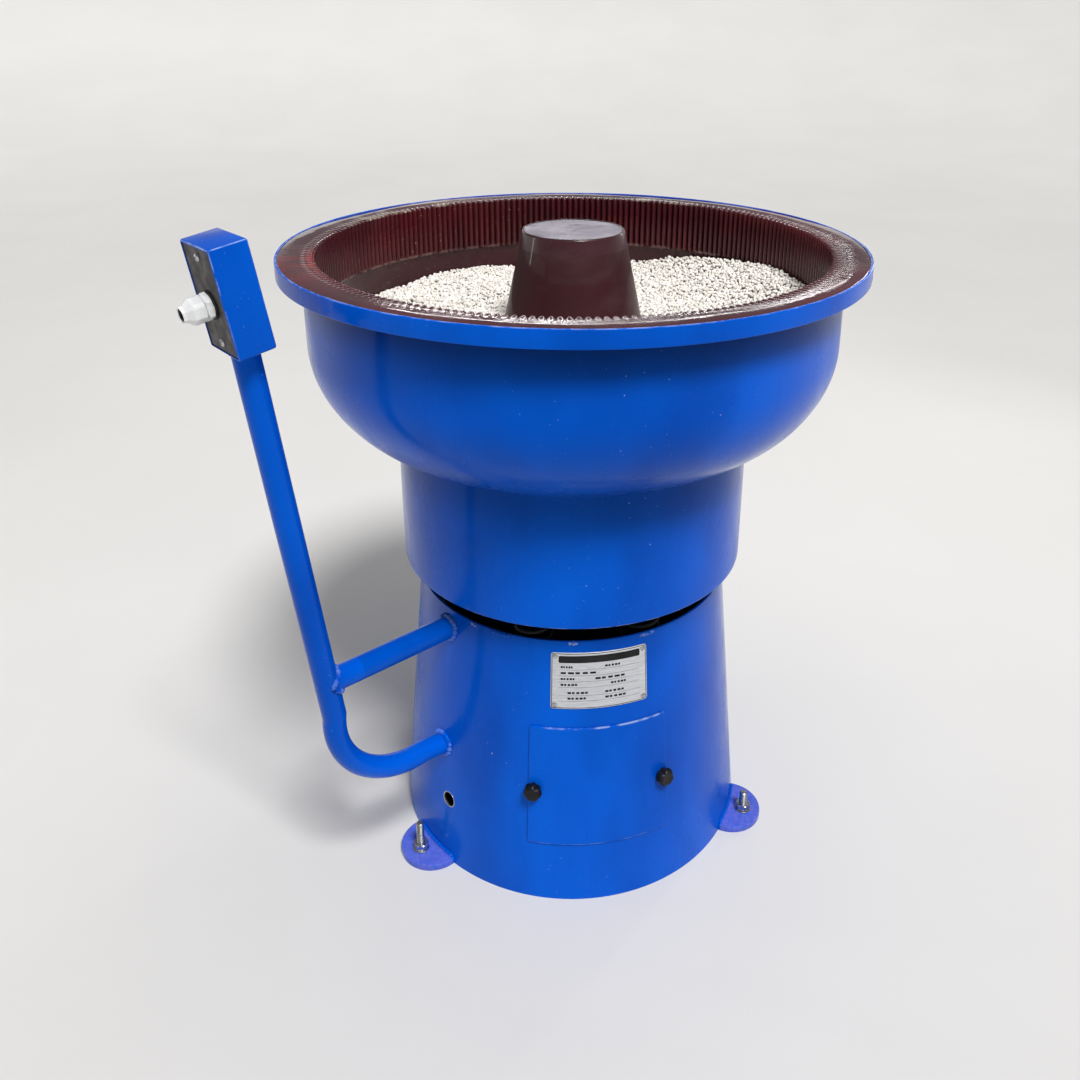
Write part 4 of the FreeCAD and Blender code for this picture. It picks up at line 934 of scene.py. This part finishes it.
def make_granules():
    """Loose granules over the bed, on a jittered close grid, one piece a sector."""
    steps = np.arange(-84, 85)
    i, j = np.meshgrid(steps, steps)
    x = (i + 0.5 * (j % 2)).ravel() * GRAIN_SPACING
    y = j.ravel() * GRAIN_SPACING * math.sqrt(3) / 2
    x = x + RANDOM.uniform(-0.3, 0.3, x.shape) * GRAIN_SPACING
    y = y + RANDOM.uniform(-0.3, 0.3, y.shape) * GRAIN_SPACING
    z = media_height(x, y) + RANDOM.normal(0, 0.0009, x.shape)
    size = GRAIN_R * RANDOM.uniform(0.8, 1.22, x.shape)
    r = np.hypot(x, y)
    cone_r = CONE_TOP_R + CONE_SLOPE * (CONE_TOP_Z - z)
    kept = (r < media_limit(z) - 0.8 * size) & (r > cone_r + 0.9 * size)
    x, y, z, size = x[kept], y[kept], z[kept], size[kept]
    shapes, faces = grain_shapes(12)
    count = len(x)
    turns = RANDOM.normal(size=(count, 4))
    turns /= np.linalg.norm(turns, axis=1)[:, None]
    w, a, b, c = turns.T
    spin = np.stack([1 - 2 * (b * b + c * c), 2 * (a * b - c * w), 2 * (a * c + b * w),
                     2 * (a * b + c * w), 1 - 2 * (a * a + c * c), 2 * (b * c - a * w),
                     2 * (a * c - b * w), 2 * (b * c + a * w), 1 - 2 * (a * a + b * b)], 1)
    spin = spin.reshape(-1, 3, 3)
    squash = RANDOM.uniform(0.72, 1.12, (count, 1, 3))
    body = shapes[RANDOM.integers(0, len(shapes), count)] * squash
    points = np.einsum("nij,nkj->nki", spin, body) * size[:, None, None]
    points += np.stack([x, y, z], 1)[:, None, :]
    tone = RANDOM.uniform(0, 1, count)
    sector = ((np.arctan2(x, -y) / (2 * math.pi) + 0.5) * SECTORS).astype(int) % SECTORS
    for number in range(SECTORS):
        own = np.flatnonzero(sector == number)
        offsets = np.arange(len(own))[:, None, None] * body.shape[1]
        mesh = fill_mesh("media_granules_%d" % (number + 1), points[own].reshape(-1, 3),
                         (faces[None] + offsets).reshape(-1, 3))
        mark(mesh, "grain", np.repeat(tone[own], body.shape[1]))
        add_piece(mesh.name, mesh, "bowl", "abrasive_media", sharp=80)


# ---- base ----
def make_foot_pads():
    """The round pads cut to the base's cone, and the welds that hold them."""
    clear = 0.0002
    cone = lathe("cone", [(0, -0.01), (BASE_R + clear, -0.01), (base_r(0.03) + clear, 0.03),
                          (0, 0.03)], 240)
    pads, beads = [], []
    for azimuth in FOOT_AZIMUTHS:
        pad = lathe("pad", rounded([(0, PAD_TOP), (0, 0), (FOOT_R, 0), (FOOT_R, PAD_TOP)],
                                   [0, 0, 0.0006, 0.0018]), 96)
        spot = to_azimuth(azimuth) @ moved(FOOT_CENTRE_R, 0, 0)
        pads.append(carved(placed(pad, spot), [cone.copy()]))
        angle = math.radians(azimuth)
        turns = np.linspace(-0.172, 0.172, 60)
        path = [around_axis(angle + t, base_r(PAD_TOP) + 0.0008, PAD_TOP + 0.0006) for t in turns]
        beads.append(tube("bead", path, 0.0024, ripple=0.18, ripple_length=0.006))
    add_piece("foot_discs", joined("foot_discs", pads), "base", "blue_enamel", ["foot_pads"])
    add_piece("foot_welds", joined("foot_welds", beads), "base", "blue_enamel")


def threaded(radius, low, high):
    """A threaded rod from low to high, with a chamfered tip."""
    rows = max(int((high - low) / THREAD_PITCH * 6), 8)
    levels = np.linspace(low, high, rows)
    outline = [(0, low)] + [(radius, z) for z in levels] + [(0, high)]

    def shape(radii, height, azimuth):
        turn = np.mod(height / THREAD_PITCH - azimuth / (2 * math.pi), 1.0)
        groove = THREAD_DEPTH * (1 - np.abs(2 * turn - 1)) * (radii > 0)
        tip = np.clip(height - (high - 0.0012), 0, 1) * (radii > 0)
        return radii - groove - tip, height
    return lathe("thread", outline, 32, shape)


def nut_mesh(across_flats, bore, low, high, chamfer):
    corner = across_flats / math.sqrt(3)
    flat = across_flats / 2
    outline = [(bore, low), (flat, low), (corner, low + chamfer), (corner, high - chamfer),
               (flat, high), (bore + chamfer / 2, high), (bore, high - chamfer / 2)]
    return lathe("nut", outline, 96, hexed(across_flats))


def make_foot_hardware():
    """A washer, a nut and a threaded stud at each foot."""
    low, high = NUT_LOW.z, NUT_HIGH.z
    made = {"foot_threads": [], "foot_hex_nuts": [], "foot_flat_washers": []}
    for number, (azimuth, stud_top) in enumerate(zip(FOOT_AZIMUTHS, STUD_HEIGHTS)):
        spot = (to_azimuth(azimuth) @ moved(STUD_CIRCLE_R, 0, 0)
                @ turned(0.4 + 0.7 * number, "Z"))
        shank = lathe("shank", [(0, 0.0002), (STUD_SHANK_R, 0.0002), (STUD_SHANK_R, high),
                                (0, high)], 32)
        made["foot_threads"] += [placed(shank, spot),
                                 placed(threaded(STUD_R, high - 0.0004, stud_top), spot)]
        nut = nut_mesh(NUT_AF, STUD_SHANK_R + BOND_GAP, low, high, 0.0009)
        made["foot_hex_nuts"].append(placed(nut, spot))
        washer = rounded([(STUD_R, PAD_TOP + 0.00005), (WASHER_R, PAD_TOP + 0.00005),
                          (WASHER_R, low - BOND_GAP), (STUD_R, low - BOND_GAP)], 0.0004)
        made["foot_flat_washers"].append(placed(lathe("washer", washer, 64), spot))
    nodes = {"foot_threads": "foot_studs", "foot_hex_nuts": "foot_nuts",
             "foot_flat_washers": "foot_washers"}
    for name, meshes in made.items():
        add_piece(name, joined(name, meshes), "base", "zinc_steel", [nodes[name]], 30)


def make_stitch_welds():
    """Short welds along the base's upper edge."""
    beads = []
    for azimuth, length in ((-45, 0.012), (-34, 0.03), (-9, 0.012), (17, 0.022), (64, 0.02),
                            (112, 0.025), (158, 0.02), (-155, 0.025), (-102, 0.02)):
        half = length / 2 / BASE_TOP_R
        turns = np.linspace(-half, half, 24) + math.radians(azimuth)
        path = [around_axis(t, BASE_TOP_R - 0.0012, BASE_TOP - 0.0026) for t in turns]
        beads.append(tube("bead", path, 0.0025, ripple=0.22, ripple_length=0.005))
    mesh = joined("base_top_welds", beads)
    # Paler beads: partly rubbed paint, partly painted glints.
    mark(mesh, "wear_and_glint", np.full(len(mesh.vertices), 0.45))
    add_piece("base_top_welds", mesh, "base", "blue_enamel")


def make_springs():
    """The coil springs between the base and the bowl, copied from the CAD."""
    for group in SPRING_GROUPS:
        node = "springs_" + group
        coils = linked("coils_" + group, frame["nodes"][node].data.copy())
        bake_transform(coils)
        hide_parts(node)


def make_cover():
    """The curved access cover, drilled for the knobs' studs."""
    z_middle = (COVER_LOW + COVER_HIGH) / 2
    place = base_sheet(z_middle, COVER_GAP)
    half_width = COVER_HALF_ANGLE * base_r(z_middle)
    half_height = (COVER_HIGH - COVER_LOW) / 2 / math.cos(BASE_SLOPE) * 0.992
    mesh = plate("cover_sheet", half_width, half_height, COVER_T, 0.0008, 0.003, place, (48, 24))
    drills = [placed(drill(KNOB_BORE_R, -0.02, 0.02, 24), on_base(side * KNOB_AZIMUTH, KNOB_Z))
              for side in (-1, 1)]
    mesh = carved(mesh, drills)
    places = points_of(mesh)
    # Top edge paler than the bottom: partly rubbed paint, partly a painted highlight.
    top = np.clip((places[:, 2] - COVER_HIGH + 0.0022) / 0.001, 0, 1)
    bottom = np.clip((COVER_LOW + 0.002 - places[:, 2]) / 0.001, 0, 1)
    mark(mesh, "wear_and_glint", np.maximum(top, bottom * 0.7) * 0.6)
    add_piece("cover_sheet", mesh, "access_cover", "blue_enamel", ["access_cover_plate"])


def make_knobs():
    """Moulded hand knobs with rounded lobes and a dished crown."""
    top = KNOB_FOOT + KNOB_T
    outline = rounded([(KNOB_BORE_R, top - 0.003), (KNOB_BORE_R, KNOB_FOOT),
                       (KNOB_R * 0.86, KNOB_FOOT), (KNOB_R, KNOB_FOOT + 0.002),
                       (KNOB_R, top - 0.0035), (KNOB_R * 0.72, top),
                       (KNOB_R * 0.3, top - 0.0006), (0, top - 0.0006), (0, top - 0.003)],
                      [0, 0.0003, 0.0006, 0.001, 0.002, 0.0015, 0.0008, 0, 0])

    def shape(radius, height, azimuth):
        lobes = 0.5 + 0.5 * np.cos(7 * azimuth)
        share = np.clip((radius / KNOB_R - 0.45) / 0.55, 0, 1)
        return radius * (1 - 0.19 * (1 - lobes ** 0.6) * share), height
    for side, body in ((-1, "knob_left"), (1, "knob_right")):
        mesh = placed(lathe("hand_" + body, outline, 128, shape),
                      on_base(side * KNOB_AZIMUTH, KNOB_Z) @ turned(0.2, "Z"))
        add_piece("hand_" + body, mesh, body, "black_plastic", [body])


def make_nameplate():
    """The plate with a printed header bar, borders and empty ruled fields."""
    z_middle = (PLATE_LOW + PLATE_HIGH) / 2
    place = base_sheet(z_middle, BOND_GAP)
    half_w = PLATE_HALF_ANGLE * base_r(z_middle)
    half_h = (PLATE_HIGH - PLATE_LOW) / 2 / math.cos(BASE_SLOPE) * 0.995
    mesh = plate("nameplate_sheet", half_w, half_h, PLATE_T, 0.0003, 0.003, place, (32, 14))
    add_piece("nameplate_sheet", mesh, "base", "nameplate_metal", ["nameplate"])
    ink = 0.00008
    line = 0.0004
    marks = [(0, half_h * 0.77, half_w * 0.845, half_h * 0.125)]
    for side in (-1, 1):
        marks.append((0, side * half_h * 0.963, half_w * 0.977, line))
        marks.append((side * half_w * 0.977, 0, line, half_h * 0.963))
    fields = ((0.50, ((-0.80, 0.26), (0.10, 0.34))), (0.29, ((-0.80, 0.74),)),
              (0.08, ((-0.80, 0.30), (-0.10, 0.66))), (-0.13, ((-0.80, 0.36), (0.22, 0.34))),
              (-0.42, ((-0.66, 0.44), (0.10, 0.42))), (-0.62, ((-0.66, 0.40), (0.10, 0.46))))
    for y, row in fields:
        for start, length in row:
            for number in range(5):
                dash = start + length * number / 5
                span = length / 5 * (0.62 + 0.2 * ((number * 7 + len(row)) % 3) / 2)
                marks.append(((dash + span / 2) * half_w, y * half_h, span / 2 * half_w,
                              0.0013))
        marks.append((0, (y - 0.1) * half_h, half_w * 0.83, 0.00014))
    meshes = []
    for x, y, w, h in marks:
        def spot(across, along, height, x=x, y=y):
            return place(across + x, along + y, height + PLATE_T)
        corner = min(w, h) * 0.4
        meshes.append(plate("mark", w, h, ink, ink * 0.6, max(corner, ink), spot,
                            (max(int(w / 0.004), 2), 2)))
    add_piece("nameplate_print", joined("nameplate_print", meshes), "base", "black_plastic")


def make_cable_hole_edge():
    """The bare metal edge of the cable hole."""
    outline = rounded([(CABLE_HOLE_R - 0.0006, -0.0028), (CABLE_HOLE_R + 0.0006, 0.0001),
                       (CABLE_HOLE_R + 0.0004, 0.0004), (CABLE_HOLE_R - 0.0008, 0.0001)],
                      0.0001, 2)

    def shape(radius, height, azimuth):
        bow = (radius * np.sin(azimuth)) ** 2 / (2 * base_r(CABLE_HOLE_Z))
        return radius, height - bow
    mesh = lathe("cable_hole_edge", outline, 64, shape)
    place = on_base(CABLE_HOLE_AZ, CABLE_HOLE_Z)
    add_piece("cable_hole_edge", placed(mesh, place), "base", "zinc_steel")


# ---- arm ----
def meeting_curve(start, ahead, inside, reach=0.3, count=72):
    """Points where a pipe along ahead from start first comes inside something."""
    start, ahead = Vector(start), Vector(ahead).normalized()
    side = ahead.cross(Vector((0, 1, 0))).normalized()
    other = ahead.cross(side)
    curve = []
    for turn in np.linspace(0, 2 * math.pi, count, endpoint=False):
        edge = start + (side * math.cos(turn) + other * math.sin(turn)) * (PIPE_R + 0.0003)
        near, far = 0.0, reach
        for _ in range(24):
            middle = (near + far) / 2
            near, far = (near, middle) if inside(edge + ahead * middle) else (middle, far)
        curve.append(edge + ahead * near)
    return curve


def inside_base(point):
    return math.hypot(point.x, point.y) < base_r(point.z) + 0.0004


def arm_axis_r(z):
    return ARM_CORNER_R + math.tan(ARM_LEAN) * (z - ARM_CORNER_Z)


def inside_arm(point):
    along = Vector((math.sin(ARM_LEAN), 0, math.cos(ARM_LEAN)))
    from_axis = point - Vector((arm_axis_r(STRUT_Z), 0, STRUT_Z))
    return from_axis.cross(along).length < PIPE_R + 0.0004


def make_arm_welds():
    """Rippled welds where the arm and its strut meet the base and each other."""
    start_r = 0.27
    leg_start = (start_r, 0, ARM_CORNER_Z - (ARM_CORNER_R - start_r) * math.sin(ARM_LEAN))
    strut_start = (start_r, 0, STRUT_Z)
    toward_base = (-math.cos(ARM_LEAN), 0, -math.sin(ARM_LEAN))
    joints = {
        "arm_foot_weld": meeting_curve(leg_start, toward_base, inside_base),
        "strut_foot_weld": meeting_curve(strut_start, (-1, 0, 0), inside_base),
        "strut_arm_weld": meeting_curve(strut_start, (1, 0, 0), inside_arm,
                                        arm_axis_r(STRUT_Z) - start_r),
    }
    for name, curve in joints.items():
        bead = placed(tube(name, curve, 0.0033, closed=True, ripple=0.16, ripple_length=0.005),
                      to_azimuth(ARM_AZIMUTH))
        # Paler beads: partly rubbed paint, partly painted glints.
        mark(bead, "wear_and_glint", np.full(len(bead.vertices), 0.2))
        add_piece(name, bead, "base", "blue_enamel")


# ---- switch box: built round the middle of its bottom, +X out of the cover ----
def soft_box(name, size, centre, bevel, segments=3):
    """A box with rounded edges."""
    work = bmesh.new()
    bmesh.ops.create_cube(work, size=1, matrix=moved(*centre)
                          @ Matrix.Diagonal((*size, 1)))
    if bevel:
        bmesh.ops.bevel(work, geom=work.edges[:], offset=bevel, segments=segments, profile=0.5,
                        affect="EDGES")
    mesh = bpy.data.meshes.new(name)
    work.to_mesh(mesh)
    work.free()
    return mesh


def make_box_shell():
    """The switch box, open at its cover side, welded to the arm."""
    shell = soft_box("box_shell", (BOX_D, BOX_W, BOX_H), (0, 0, BOX_H / 2), 0.0024, 4)
    cavity = soft_box("cavity", (BOX_D, BOX_W - 2 * BOX_WALL, BOX_H - 2 * BOX_WALL),
                      (BOX_WALL, 0, BOX_H / 2), 0.0012)
    cutters = [cavity]
    for side in (-1, 1):
        hole = drill(BUTTON_R + 0.0008, -0.01, 0.01)
        spot = (moved(-BOX_D / 2, 0, BOX_H / 2 + side * BUTTON_OFFSET)
                @ turned(math.pi / 2, "Y"))
        cutters.append(placed(hole, spot))
    pipe_x = arm_axis_r(BOX_BOTTOM_Z) - BOX_BOTTOM_R
    pipe = placed(drill(PIPE_R + 0.0005, -0.02, 0.02), moved(pipe_x, 0, 0)
                  @ turned(ARM_LEAN - BOX_LEAN, "Y"))
    mesh = carved(shell, cutters + [pipe])
    places = points_of(mesh)
    to_face = np.stack([BOX_D / 2 - np.abs(places[:, 0]), BOX_W / 2 - np.abs(places[:, 1]),
                        BOX_H / 2 - np.abs(places[:, 2] - BOX_H / 2)], 1)
    # Paler edges, the upper ones most: partly rubbed paint, partly painted highlights.
    on_edge = np.sort(to_face, 1)[:, 1] < 0.0013
    upper = places[:, 2] > BOX_H - 0.004
    mark(mesh, "wear_and_glint", on_edge * np.where(upper, 0.7, 0.3))
    add_piece("box_shell", placed(mesh, ON_ARM), "base", "blue_enamel", ["switch_box_shell"])
    turns = np.linspace(0, 2 * math.pi, 60, endpoint=False)
    weld_r = PIPE_R + 0.0006
    path = [(pipe_x + weld_r * math.cos(t), weld_r * math.sin(t), -0.0002) for t in turns]
    bead = tube("box_weld", path, 0.0024, closed=True, ripple=0.15, ripple_length=0.005)
    add_piece("box_weld", placed(bead, ON_ARM), "base", "blue_enamel")


def make_box_cover():
    """The dark plate in the box's open side, with the gland's hole."""
    def place(across, along, height):
        return np.stack([BOX_COVER_X - BOX_COVER_T + height, across, BOX_H / 2 + along], -1)
    half_w = BOX_W / 2 - BOX_WALL - BOX_COVER_GAP
    half_h = BOX_H / 2 - BOX_WALL - BOX_COVER_GAP
    mesh = plate("box_cover", half_w, half_h, BOX_COVER_T, 0.0006, 0.0035, place, (6, 10))
    hole = placed(drill(GLAND_HOLE_R, -0.01, 0.01),
                  moved(BOX_COVER_X, 0, GLAND_Z) @ turned(math.pi / 2, "Y"))
    add_piece("box_cover", placed(carved(mesh, [hole]), ON_ARM), "base", "box_cover_dark",
              ["switch_box_cover"])


def make_box_screws():
    """Domed screws with a cross recess."""
    screws = []
    for side in (-1, 1):
        dome = [(0.0, 0.0024), (0.0014, 0.0023), (0.0026, 0.0019), (0.0035, 0.0012),
                (0.004, 0.0004), (0.004, 0.0001), (0.002, 0.0001), (0.002, -0.006), (0, -0.006)]
        screw = lathe("screw", dome, 48)
        slots = []
        for turn in (0, math.pi / 2):
            slot_box = soft_box("recess", (0.0042, 0.0009, 0.0026), (0, 0, 0.0023), 0)
            slots.append(placed(slot_box, turned(turn + 0.3 * side, "Z")))
        screw = carved(screw, slots)
        screws.append(placed(screw, out_of_cover(BOX_H / 2 + side * BOX_SCREW_HALF_SPAN)))
    add_piece("box_cross_screws", joined("box_cross_screws", screws), "base", "zinc_steel",
              ["switch_box_screws"], 30)


def make_gland():
    """The gland's seal, its chamfered hexagon and its ribbed, tapering cap."""
    place = out_of_cover(GLAND_Z)
    washer_r, washer_top = 0.014, 0.002
    washer = rounded([(GLAND_HOLE_R, BOND_GAP), (washer_r, BOND_GAP), (washer_r, washer_top),
                      (GLAND_HOLE_R, washer_top)], 0.0006)
    add_piece("gland_seal", placed(lathe("gland_seal", washer, 96), place), "base",
              "black_rubber", ["gland_washer"])
    corner = GLAND_AF / math.sqrt(3)
    low, high = 0.0021, 0.0086
    body = [(GLAND_BORE_R, -0.01), (0.0099, -0.01), (0.0099, low), (GLAND_AF / 2, low),
            (corner, low + 0.0007), (corner, high - 0.001), (GLAND_AF / 2 - 0.0002, high),
            (0.009, high), (0.009, 0.0176), (GLAND_BORE_R, 0.0176)]
    add_piece("gland_hex", placed(lathe("gland_hex", body, 96, hexed(GLAND_AF)), place), "base",
              "light_grey_nylon", ["gland_body"], 30)
    grip = 0.009
    half, full = GLAND_CAP_AF / 2, GLAND_CAP_AF / 2 + 0.0009
    tip = 0.029
    cap = [(0.0092, grip), (half - 0.0002, grip), (full, grip + 0.0008), (full, 0.0192),
           (half, 0.0204), (half - 0.0006, 0.0212), (0.0102, 0.0262), (0.0092, 0.0284),
           (0.0082, tip), (GLAND_BORE_R + 0.0005, tip), (GLAND_BORE_R, 0.0285),
           (GLAND_BORE_R, 0.019), (0.0092, 0.0182)]

    def shape(radius, height, azimuth):
        taper = np.clip((tip - height) / 0.009, 0.55, 1)
        return hexed(GLAND_CAP_AF * taper)(radius, height, azimuth)
    add_piece("gland_dome_cap", placed(lathe("gland_dome_cap", cap, 288, shape), place), "base",
              "light_grey_nylon", ["gland_cap"], 30)
    seal = rounded([(0.0045, 0.021), (GLAND_BORE_R - BOND_GAP, 0.021),
                    (GLAND_BORE_R - BOND_GAP, 0.0286), (0.0045, 0.0278)], 0.0004)
    add_piece("gland_inner_seal", placed(lathe("gland_inner_seal", seal, 48), place), "base",
              "black_rubber")


def make_buttons():
    """Two chromed bezels and the start and stop buttons in them."""
    rings = []
    for side in (-1, 1):
        outline = rounded([(BUTTON_R + 0.0004, 0.0001), (BEZEL_R, 0.0001), (BEZEL_R, 0.0012),
                           (BUTTON_R + 0.0016, BEZEL_T), (BUTTON_R + 0.0004, BEZEL_T)],
                          [0, 0.0002, 0.0006, 0.0008, 0.0003])
        rings.append(placed(lathe("bezel", outline, 96),
                            out_of_back(BOX_H / 2 + side * BUTTON_OFFSET)))
    add_piece("bezel_rings", joined("bezel_rings", rings), "base", "bezel_metal",
              ["button_bezels"])
    for side, proud, name, slot in ((1, 0.0025, "start", "button_green"),
                                    (-1, 0.0065, "stop", "button_red")):
        dish = [(BUTTON_R * k / 6, proud - 0.0006 + 0.0006 * (k / 5) ** 2) for k in range(6)]
        outline = dish + rounded([(BUTTON_R, proud), (BUTTON_R, -0.002), (0, -0.002)],
                                 [0.001, 0.0003, 0])
        mesh = placed(lathe(name + "_cap", outline, 96),
                      out_of_back(BOX_H / 2 + side * BUTTON_OFFSET))
        add_piece(name + "_cap", mesh, name + "_button", slot, [name + "_button"])


# ---- studio ----
def make_floor():
    """A wide pale floor that curves up at its far edge."""
    ring = [(0, 0), (0.6, 0), (1.6, 0), (5.0, 0), (7.0, 0.12), (9.0, 0.9), (10.0, 2.4),
            (10.3, 2.4), (9.3, 0.8), (7.0, -0.1), (5.0, -0.2), (0, -0.2)]
    mesh = lathe("floor", ring, 96)
    mesh.transform(moved(0, 0, -0.0002))
    pale = Finish("floor_pale", IOR=1.4)
    tone = pale.span(pale.noise(1.5, 3), 0.3, 0.7)
    pale.set("Base Color", pale.mix(tone, srgb(209, 207, 204), srgb(212, 210, 207)))
    pale.set("Roughness", pale.span(pale.noise(30, 4), 0.3, 0.7, 0.55, 0.7))
    mesh.materials.append(pale.material)
    mesh.shade_smooth()
    floor = linked("floor", mesh)


def make_light(name, energy, size, position, target):
    data = bpy.data.lights.new(name, "AREA")
    data.energy = energy
    data.shape = "RECTANGLE"
    data.size, data.size_y = size
    light = linked(name, data)
    light.location = position
    aim = Vector(target) - Vector(position)
    light.rotation_euler = aim.to_track_quat("-Z", "Y").to_euler()
    light.visible_camera = False


def make_studio():
    world = bpy.data.worlds.new("studio")
    world.use_nodes = True
    sky = world.node_tree.nodes["Background"]
    sky.inputs[0].default_value = srgb(232, 234, 238)
    sky.inputs[1].default_value = 0.24
    bpy.context.scene.world = world
    sun = bpy.data.lights.new("key", "SUN")
    sun.energy = 3.3
    sun.angle = math.radians(16)
    key = linked("key", sun)
    key.rotation_euler = Vector((-0.2, 0.62, -1.02)).to_track_quat("-Z", "Y").to_euler()
    make_light("overhead", 8, (1.6, 1.0), (0.2, 0.1, 2.3), (0, 0, 0.6))
    make_light("right_strip", 4, (0.10, 0.7), (1.5, 1.2, 1.2), (0, 0, 0.75))
    make_light("left_strip", 2, (0.10, 0.7), (-1.9, 0.5, 1.2), (0, 0, 0.75))
    make_light("back_tube_high", 3.0, (1.3, 0.035), (0.35, 2.6, 1.66), (0, 0, 0.76))
    make_light("back_tube_low", 0.8, (0.7, 0.035), (1.25, 2.6, 1.56), (0, 0, 0.76))
    bpy.context.scene.view_settings.view_transform = "Standard"


make_rim_band()
make_lining()
make_cone()
make_steel_bowl()
make_skirt()
make_media_bed()
make_granules()
make_foot_pads()
make_foot_hardware()
make_stitch_welds()
make_springs()
make_cover()
make_knobs()
make_nameplate()
make_cable_hole_edge()
make_arm_welds()
make_box_shell()
make_box_cover()
make_box_screws()
make_gland()
make_buttons()
make_floor()
make_studio()
